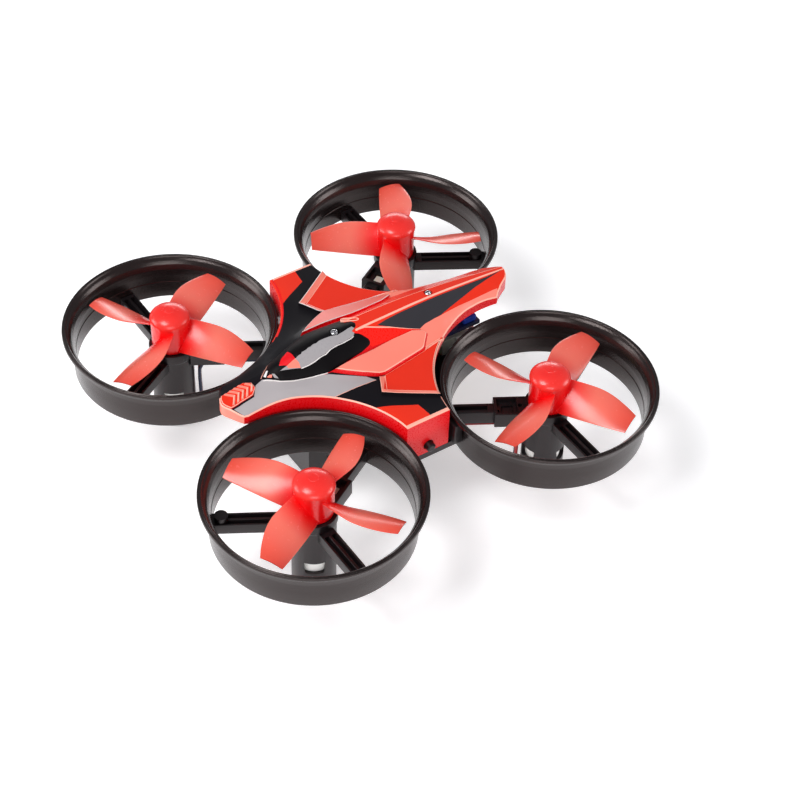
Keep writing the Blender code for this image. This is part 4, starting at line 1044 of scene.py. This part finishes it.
def plate(name, outline, top_z, looks, slope, bevel=0.12, bevel_drop=0.08, drop=0.2,
          regions=(), lines=(), spacing=1.0, sharp=28.0):
    """A raised plate on the canopy: sloping walls, a bevel, mostly a painted highlight, and a top.

    looks gives the walls', the bevel's and the top's look.
    """
    if area(outline) < 0.0:
        outline = outline[::-1]
    wall_look, bevel_look, top_look = looks
    foot = dense(outline, 0.8)
    shoulder = inset(foot, slope)
    rim = inset(foot, slope + bevel)
    chains = list(lines) + [dense(r + r[:1], 0.9, closed=False) for _, r in regions]
    plan, triangles = triangulated(rim, chains, spacing)

    def under_z(x, y):
        return min(height(x, y) - PLATE_SINK - drop, top_z(x, y) - 0.3)

    verts = [(x, y, top_z(x, y)) for x, y in plan]
    faces = [face for face, _ in triangles]
    face_looks = [painted(centre, regions, top_look) for _, centre in triangles]
    start = len(verts)
    count = len(foot)
    for (fx, fy), (sx, sy), (rx, ry) in zip(foot, shoulder, rim):
        sunk = height(fx, fy) - PLATE_SINK
        verts += [(rx, ry, top_z(rx, ry)), (sx, sy, top_z(sx, sy) - bevel_drop),
                  (fx, fy, sunk), (fx, fy, sunk - drop)]
    for i in range(count):
        a = start + 4 * i
        b = start + 4 * ((i + 1) % count)
        faces += [(a + k, a + k + 1, b + k + 1, b + k) for k in range(3)]
        face_looks += [bevel_look, wall_look, wall_look]
    under = len(verts)
    verts += [(x, y, under_z(x, y)) for x, y in plan]
    faces += [tuple(under + i for i in reversed(face)) for face, _ in triangles]
    under_rim = len(verts)
    verts += [(x, y, under_z(x, y)) for x, y in rim]
    for i in range(count):
        j = (i + 1) % count
        faces.append((start + 4 * i + 3, under_rim + i, under_rim + j, start + 4 * j + 3))
    face_looks += [wall_look] * (len(triangles) + count)
    used = sorted(set(face_looks))
    obj = make(name, verts, faces, used, face_looks, sharp)
    return on_body(obj, "frame", "canopy_plastic")


# y, half width of the cockpit's outline, z of the canopy there
COCKPIT_FOOT = (
    (-19.4, 0.0, 3.2), (-18.55, 0.75, 3.35), (-17.0, 2.17, 3.45), (-15.0, 3.1, 3.3),
    (-13.1, 3.8, 3.38), (-11.0, 4.47, 3.58), (-9.0, 5.0, 3.88), (-7.0, 4.98, 4.1),
    (-5.0, 4.75, 4.25), (-3.0, 4.5, 4.4), (-1.2, 4.25, 4.45), (0.5, 4.1, 4.5),
)
# y, z of the cockpit's middle line
CROWN = ((-19.4, 3.35), (-18.3, 4.05), (-16.9, 4.95), (-14.9, 5.70), (-12.0, 6.58), (-9.3, 7.05),
         (-6.5, 7.31), (-4.9, 7.34), (-3.2, 7.34), (-1.5, 7.30), (0.5, 7.26))


def cockpit_z(x, y):
    width, foot = sampled(COCKPIT_FOOT, y)
    crown = sampled(CROWN, y)[0]
    share = min(1.0, abs(x) / max(0.3, width))
    return foot + 0.1 + (crown - foot - 0.1) * (1.0 - share ** 1.8)


def mirrored_outline(points):
    """Both halves of an outline that starts and ends on the middle plane."""
    return points + flipped(points[1:-1])[::-1]


def make_cockpit():
    centre = [[(0.0, y) for y in range(-19, 0)]]
    light = edge_band([(2.6, -13.1), (2.84, -11.85), (2.93, -10.57), (2.85, -9.42), (2.88, -8.34),
                       (2.55, -7.22), (2.44, -5.81), (2.42, -4.46), (2.27, -3.01), (2.1, -2.34)],
                      -0.12)
    regions = [("stripe", STRIPE), ("mark", MARK_RED), ("salmon", MARK_SALMON),
               ("white", light), ("white", TIP_WHITE), ("salmon", TIP_SALMON),
               ("stripe", TIP_GREY)]
    cover = plate("cockpit_cover", mirrored_outline(COCKPIT), cockpit_z,
                  ("glass", "glass", "glass"), slope=0.06, bevel_drop=0.10,
                  regions=regions, lines=centre, spacing=0.45, sharp=40.0)
    seat = circle(0.84, 32, FRONT_SCREW_Y)
    combined(cover, [cut(prism(seat, 6.62, 9.0, level))], 40.0)


def strip_z(x, y):
    """The strips stand higher towards the nose."""
    rise = 0.52 + 0.28 * min(1.0, max(0.0, (1.5 - y) / 5.0))
    return height(x, y) + rise


def make_strips():
    for side, name in SIDES:
        outline = on_side(inset(STRIP_TOP, -0.36), side)
        # Painted light and shade: pale bevel and salmon top on the left, whiter bevel and darker
        # rose top on the right.
        rim, top = ("edge", "salmon") if side > 0 else ("white", "rose")
        plate(f"canopy_strip_{name}", outline, strip_z, ("deep", rim, top), slope=0.24,
              bevel_drop=0.10)


def panel_outline():
    rear = [(x, y) for x, y in HALF if 4.0 < y < 12.9 and 7.3 < x < 18.7]
    rear = [(x - 0.10, y - 0.12) for x, y in rear]
    return PANEL_INNER + PANEL_FRONT + rear


PANEL_EDGE = PANEL_INNER[-1:] + PANEL_FRONT
RIM_WIDTH = 0.85


def distance_to(line, x, y):
    """Shortest distance from a point to a line of segments."""
    best = 99.0
    for (x1, y1), (x2, y2) in zip(line, line[1:]):
        length = (x2 - x1) ** 2 + (y2 - y1) ** 2
        t = min(1.0, max(0.0, ((x - x1) * (x2 - x1) + (y - y1) * (y2 - y1)) / length))
        best = min(best, math.hypot(x - x1 - t * (x2 - x1), y - y1 - t * (y2 - y1)))
    return best


def panel_z(x, y):
    """The panel's front edges stand up and slope down to its flat middle."""
    share = min(1.0, max(0.0, distance_to(PANEL_EDGE, abs(x), y) - 0.14) / RIM_WIDTH)
    return height(x, y) + 0.62 - 0.50 * share


def make_panels():
    band = edge_band([(9.4, -1.85), (13.35, -3.9), (19.1, 4.9)], RIM_WIDTH + 0.25)
    foot = edge_band([(9.75, -0.85), (12.95, -2.52), (17.7, 4.7)], 0.12)
    for side, name in SIDES:
        # Painted highlights: the rim's foot line in the light edge colour; the bevel pale on the
        # left, whiter on the right.
        regions = [("salmon", on_side(band, side)), ("edge", on_side(foot, side))]
        rim = "edge" if side > 0 else "white"
        plate(f"canopy_panel_{name}", on_side(panel_outline(), side), panel_z,
              ("black", rim, "red"), slope=0.08, regions=regions)


def rib(name, path, half_width, rise, look):
    """A low rounded rib that follows a line on the canopy."""
    section = [(-1.0, -1.0), (-0.95, 0.0), (-0.6, 0.75), (0.0, 1.0), (0.6, 0.75), (0.95, 0.0),
               (1.0, -1.0)]
    path = dense(path, 0.5, closed=False)
    verts = []
    for i, point in enumerate(path):
        before = Vector(path[max(0, i - 1)])
        after = Vector(path[min(len(path) - 1, i + 1)])
        along = (after - before).normalized()
        taper = min(1.0, 0.35 + 0.65 * min(i, len(path) - 1 - i) / 2.0)
        for u, v in section:
            x = point[0] - along.y * u * half_width
            y = point[1] + along.x * u * half_width
            z = height(x, y) + (v * rise * taper if v > 0 else v * 0.4)
            verts.append((x, y, z))
    obj = shape(name, look, verts, ring_faces(len(path), len(section)), 50.0)
    return on_body(obj, "frame", "canopy_plastic")


def make_nose_vent():
    """A six-sided raised patch on the nose with bent ribs across it."""
    patch = [(-1.75, -26.4), (-0.85, -26.9), (0.0, -27.1), (0.85, -26.9), (1.75, -26.4),
             (1.75, -22.1), (0.7, -21.0), (-0.7, -21.0), (-1.75, -22.1)]
    plate("nose_vent", patch, lambda x, y: height(x, y) + 0.22, ("deep", "edge", "red"),
          slope=0.05, bevel=0.10, spacing=0.6)
    section = ((-0.24, -0.3), (-0.22, 0.12), (-0.10, 0.30), (0.10, 0.30), (0.24, 0.10),
               (0.26, -0.3))
    for index in range(5):
        tip = -24.75 + 0.86 * index
        reach = 1.45 if index < 4 else 1.05
        back = tip - 0.95 * reach / 1.42
        path = dense([(-reach, back), (0.0, tip), (reach, back)], 0.35, closed=False)
        verts = [(x, y + u, height(x, y + u) + 0.20 + v) for x, y in path for u, v in section]
        faces = ring_faces(len(path), len(section))
        # Painted light and shade: the ribs' left halves are light, their right halves salmon.
        looks = ["edge" if sum(verts[k][0] for k in face) > 0.0 else "salmon" for face in faces]
        obj = make(f"nose_chevron_{index + 1}", verts, faces, ["edge", "salmon"], looks, 35.0)
        on_body(obj, "frame", "canopy_plastic")


def make_canopy_ribs():
    foot = [(row[6] + 0.02, row[0]) for row in ROWS if -17.5 < row[0] < -9.0]
    for side, name in SIDES:
        # The ribs and cockpit frames are painted highlights along their crests, whiter on the left
        # frame.
        rib(f"canopy_rib_{name}_1", on_side([(7.95, 8.7), (7.5, 12.9)], side), 0.10, 0.20,
            "edge")
        rib(f"canopy_rib_{name}_2", on_side([(7.62, 9.0), (7.15, 13.1)], side), 0.09, 0.16,
            "edge")
        rib(f"cockpit_frame_{name}", on_side([(0.3, -19.35), (0.9, -18.6)] + foot, side), 0.08,
            0.14, "edge" if side < 0 else "white")


def make_slot():
    """A raised oval ring beside the front of the crown, on the right."""
    centre = Vector((1.25, -0.95))
    along = Vector((-0.5, 0.866))
    across = Vector((0.866, 0.5))
    section = ((-0.11, -0.6), (-0.10, 0.04), (0.0, 0.14), (0.10, 0.04), (0.11, -0.6))
    steps = 36
    verts = []
    for step in range(steps):
        angle = 2 * math.pi * step / steps
        reach = signed_power(math.cos(angle), 0.6)
        width = signed_power(math.sin(angle), 0.8)
        for u, v in section:
            point = centre + along * (1.5 + u) * reach + across * (0.34 + u) * width
            verts.append((-point.x, point.y, 7.16 + v + 0.05 * reach))
    # In the light edge colour, a painted highlight.
    obj = shape("canopy_slot", "edge", verts, ring_faces(steps, len(section), closed=True), 50.0)
    on_body(obj, "frame", "canopy_plastic")


def make_canopy():
    make_canopy_shell()
    make_cockpit()
    make_strips()
    make_panels()
    make_nose_vent()
    make_canopy_ribs()
    make_slot()


# --- Screws ---------------------------------------------------------------------------

def screw(name, y, head_top, radius, node):
    """A pan-head screw with a cross recess, on the middle plane."""
    under = head_top - 0.6
    profile = [(0.0, head_top), (0.45 * radius, head_top - 0.02), (0.75 * radius, head_top - 0.10),
               (0.94 * radius, head_top - 0.26), (radius, head_top - 0.42), (radius, under),
               (0.55, under), (0.55, under - 4.6), (0.35, under - 5.0), (0.0, under - 5.0)]
    head = shape(name, "steel", *domed(profile, 40))
    arms = []
    for turn in (0.0, math.pi / 2):
        cos, sin = math.cos(turn + 0.4), math.sin(turn + 0.4)
        arm = [(u * cos - v * sin, u * sin + v * cos)
               for u, v in rectangle(0.62 * radius, -0.13, 0.13)]
        arms.append(cut(prism(arm, head_top - 0.36, head_top + 1.0, level)))
    placed(combined(head, arms), 0.0, y)
    return on_body(head, "frame", "screw_steel", node)


# --- Electronics and centre frame -----------------------------------------------------

def soft_box(name, look, low, high, radius, slot, *nodes):
    """A block with rounded edges, from a rounded outline with bevelled ends."""
    (x1, y1, z1), (x2, y2, z2) = low, high
    outline = fillet([(x1, y1), (x2, y1), (x2, y2), (x1, y2)], radius * 1.4, 4)
    middle_x, middle_y = (x1 + x2) / 2, (y1 + y2) / 2
    rings = [(z2, radius), (z2 - 0.3 * radius, 0.3 * radius), (z2 - radius, 0.0)]
    rings += [(z1 + z2 - z, shrink) for z, shrink in rings[::-1]]
    verts = []
    for z, shrink in rings:
        scale_x = 1.0 - shrink / ((x2 - x1) / 2)
        scale_y = 1.0 - shrink / ((y2 - y1) / 2)
        verts += [(middle_x + (x - middle_x) * scale_x, middle_y + (y - middle_y) * scale_y, z)
                  for x, y in outline]
    obj = shape(name, look, verts, ring_faces(len(rings), len(outline)), 40.0)
    return on_body(obj, "frame", slot, *nodes)


def node_box(node):
    """Low and high corner of a CAD node, in millimetres over the lip plane."""
    low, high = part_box(node)
    return (tuple(v / MM for v in low[:2]) + (low.z / MM - LIP_Z,),
            tuple(v / MM for v in high[:2]) + (high.z / MM - LIP_Z,))


def make_electronics():
    for corner, *_ in CORNERS:
        colour = "blue" if corner.startswith("rear") else "red"
        light, driver = f"light_{corner}", f"motor_driver_{corner}"
        soft_box(f"led_{corner}", f"led_{colour}", *node_box(light), 0.25, f"{colour}_light",
                 light)
        soft_box(f"transistor_{corner}", "resin", *node_box(driver), 0.12, "chip_resin", driver)
    for chip in ("controller", "radio", "gyro"):
        node = f"{chip}_chip"
        soft_box(f"{chip}_package", "resin", *node_box(node), 0.12, "chip_resin", node)


def make_arm_blocks():
    """Blocks of the frame beside the arm ends, and pegs that the canopy clips on."""
    root, length, radius = 19.95, 3.35, 0.85
    profile = [(0.0, length), (0.55, length), (0.78, length - 0.15), (radius, length - 0.4),
               (radius, 0.0), (0.0, 0.0)]
    for side_x, side in reversed(SIDES):
        verts, faces = domed(profile, 32)
        verts = [(side_x * (root + z), side_x * x, y + PEG_Z) for x, y, z in verts]
        on_body(shape(f"side_peg_{side}", "frame", verts, faces), "frame", "frame_plastic")
        x1, x2 = sorted((side_x * 20.9, side_x * 23.2))
        for side_y, end in ((-1, "front"), (1, "rear")):
            low_y = min(side_y * 4.75, side_y * 6.3)
            soft_box(f"arm_block_{side}_{end}", "frame", (x1, low_y, -5.6),
                     (x2, low_y + 1.55, -1.4), 0.15, "frame_plastic")


def make_battery():
    """A pouch cell in shrink wrap, crowned, with a taped end."""
    low, high = node_box("battery")
    half_x, half_y, half_z = ((high[k] - low[k]) / 2 for k in range(3))
    middle_z = (high[2] + low[2]) / 2
    columns, rows = 28, 44
    verts = []
    for j in range(rows + 1):
        v = -1.0 + 2.0 * j / rows
        end = math.sqrt(max(0.0, 1.0 - abs(v) ** 14))
        bulge = 1.0 - 0.06 * abs(v) ** 3
        for i in range(columns):
            angle = 2 * math.pi * i / columns
            cos, sin = math.cos(angle), math.sin(angle)
            x = signed_power(cos, 0.42) * half_x * (0.90 + 0.10 * end)
            z = signed_power(sin, 0.42) * half_z * bulge * (0.82 + 0.18 * end)
            wrinkle = 0.02 * math.sin(9 * v + 3 * cos)
            verts.append((x, v * half_y, middle_z + z * (1 - abs(wrinkle))))
    faces = ring_faces(rows + 1, columns)
    tape_start = half_y - 2.2
    looks = ["tape" if sum(verts[i][1] for i in face) / len(face) > tape_start else "wrap"
             for face in faces]
    obj = make("battery_pouch", verts, faces, ["wrap", "tape"], looks, 40.0)
    on_body(obj, "battery_pack", "battery_wrap", "battery")


def carried_over_materials():
    """Better materials on the CAD nodes that stay."""
    looks = {"centre_frame": "frame", "battery_tray": "frame", "circuit_board": "board",
             "antenna_wire": "sleeve", "battery_socket": "nylon", "battery_plug": "nylon",
             "battery_lead_red": "lead_red", "battery_lead_black": "lead_black",
             "board_screw_left": "steel", "board_screw_right": "steel"}
    for corner, _, _, turning, _ in CORNERS:
        looks[f"motor_lead_{corner}_a"] = "lead_red" if turning > 0 else "lead_white"
        looks[f"motor_lead_{corner}_b"] = "lead_blue" if turning > 0 else "lead_black"
    for node, look in looks.items():
        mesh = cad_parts[node].data
        mesh.materials.clear()
        mesh.materials.append(MATERIALS[look])


# --- Stage ----------------------------------------------------------------------------

def make_stage():
    size = 2.5
    mesh = bpy.data.meshes.new("floor")
    mesh.from_pydata([(-size, -size, 0), (size, -size, 0), (size, size, 0), (-size, size, 0)],
                     [], [(0, 1, 2, 3)])
    mat = bpy.data.materials.new("floor_pale")
    mat.use_nodes = True
    shader = mat.node_tree.nodes["Principled BSDF"]
    shader.inputs["Base Color"].default_value = (0.96, 0.96, 0.97, 1.0)
    shader.inputs["Roughness"].default_value = 0.75
    shader.inputs["Specular IOR Level"].default_value = 0.2
    shader.inputs["Emission Color"].default_value = (1.0, 0.99, 0.99, 1.0)
    shader.inputs["Emission Strength"].default_value = 0.32
    mesh.materials.append(mat)
    floor = linked("floor", mesh)
    floor.location.z = -0.2 * MM


def area_light(name, energy, size, spot):
    """A soft light that faces the drone."""
    data = bpy.data.lights.new(name, "AREA")
    data.energy = energy
    data.shape = "RECTANGLE"
    data.size, data.size_y = size
    lamp = linked(name, data)
    lamp.location = spot
    direction = Vector((0.0, 0.0, 0.02)) - Vector(spot)
    lamp.rotation_euler = direction.to_track_quat("-Z", "Y").to_euler()


def make_lights():
    world = bpy.data.worlds.new("studio")
    world.use_nodes = True
    background = world.node_tree.nodes["Background"]
    background.inputs["Color"].default_value = (0.95, 0.96, 1.0, 1.0)
    background.inputs["Strength"].default_value = 0.30
    bpy.context.scene.world = world
    # name, watts, size in metres, place in metres
    area_light("key", 1.45, (0.20, 0.20), (0.02, -0.26, 0.42))
    area_light("fill", 1.0, (0.30, 0.22), (0.44, -0.26, 0.20))
    area_light("back", 0.9, (0.40, 0.10), (-0.50, 0.36, 0.15))
    area_light("left_box", 0.8, (0.22, 0.22), (-0.26, -0.38, 0.13))
    area_light("right_box", 0.8, (0.22, 0.22), (0.28, 0.40, 0.13))


# Where the camera stands: angles about the lip plane's middle, and millimetres.
AZIMUTH = math.radians(54.69)
ELEVATION = math.radians(44.22)
ROLL = math.radians(2.29)
DISTANCE = 351.2
SHIFT_RIGHT = 7.38
SHIFT_UP = -8.32
FOCAL_LENGTH = 90.7155
SENSOR_WIDTH = 36.0


def make_camera():
    back = Vector((math.sin(AZIMUTH) * math.cos(ELEVATION),
                   -math.cos(AZIMUTH) * math.cos(ELEVATION), math.sin(ELEVATION)))
    level_right = Vector((math.cos(AZIMUTH), math.sin(AZIMUTH), 0.0))
    level_up = back.cross(level_right)
    right = level_right * math.cos(ROLL) + level_up * math.sin(ROLL)
    up = level_up * math.cos(ROLL) - level_right * math.sin(ROLL)
    spot = back * DISTANCE + right * SHIFT_RIGHT + up * SHIFT_UP
    spot.z += LIP_Z
    data = bpy.data.cameras.new("camera")
    data.lens = FOCAL_LENGTH
    data.sensor_width = SENSOR_WIDTH
    data.clip_start = 0.01
    camera = linked("camera", data)
    turn = Matrix((right, up, back)).transposed()
    camera.matrix_world = Matrix.Translation(spot * MM) @ turn.to_4x4()
    bpy.context.scene.camera = camera


make_camera()
make_stage()
make_lights()
bpy.context.scene.view_settings.view_transform = "Standard"

make_ducts()
make_mounts()
make_motors()
make_propellers()
make_canopy()
screw("canopy_fixing_front", FRONT_SCREW_Y, 7.36, 0.78, "canopy_screw_front")
screw("canopy_fixing_rear", REAR_SCREW_Y, 7.30, 0.66, "canopy_screw_rear")
make_electronics()
make_arm_blocks()
make_battery()
carried_over_materials()
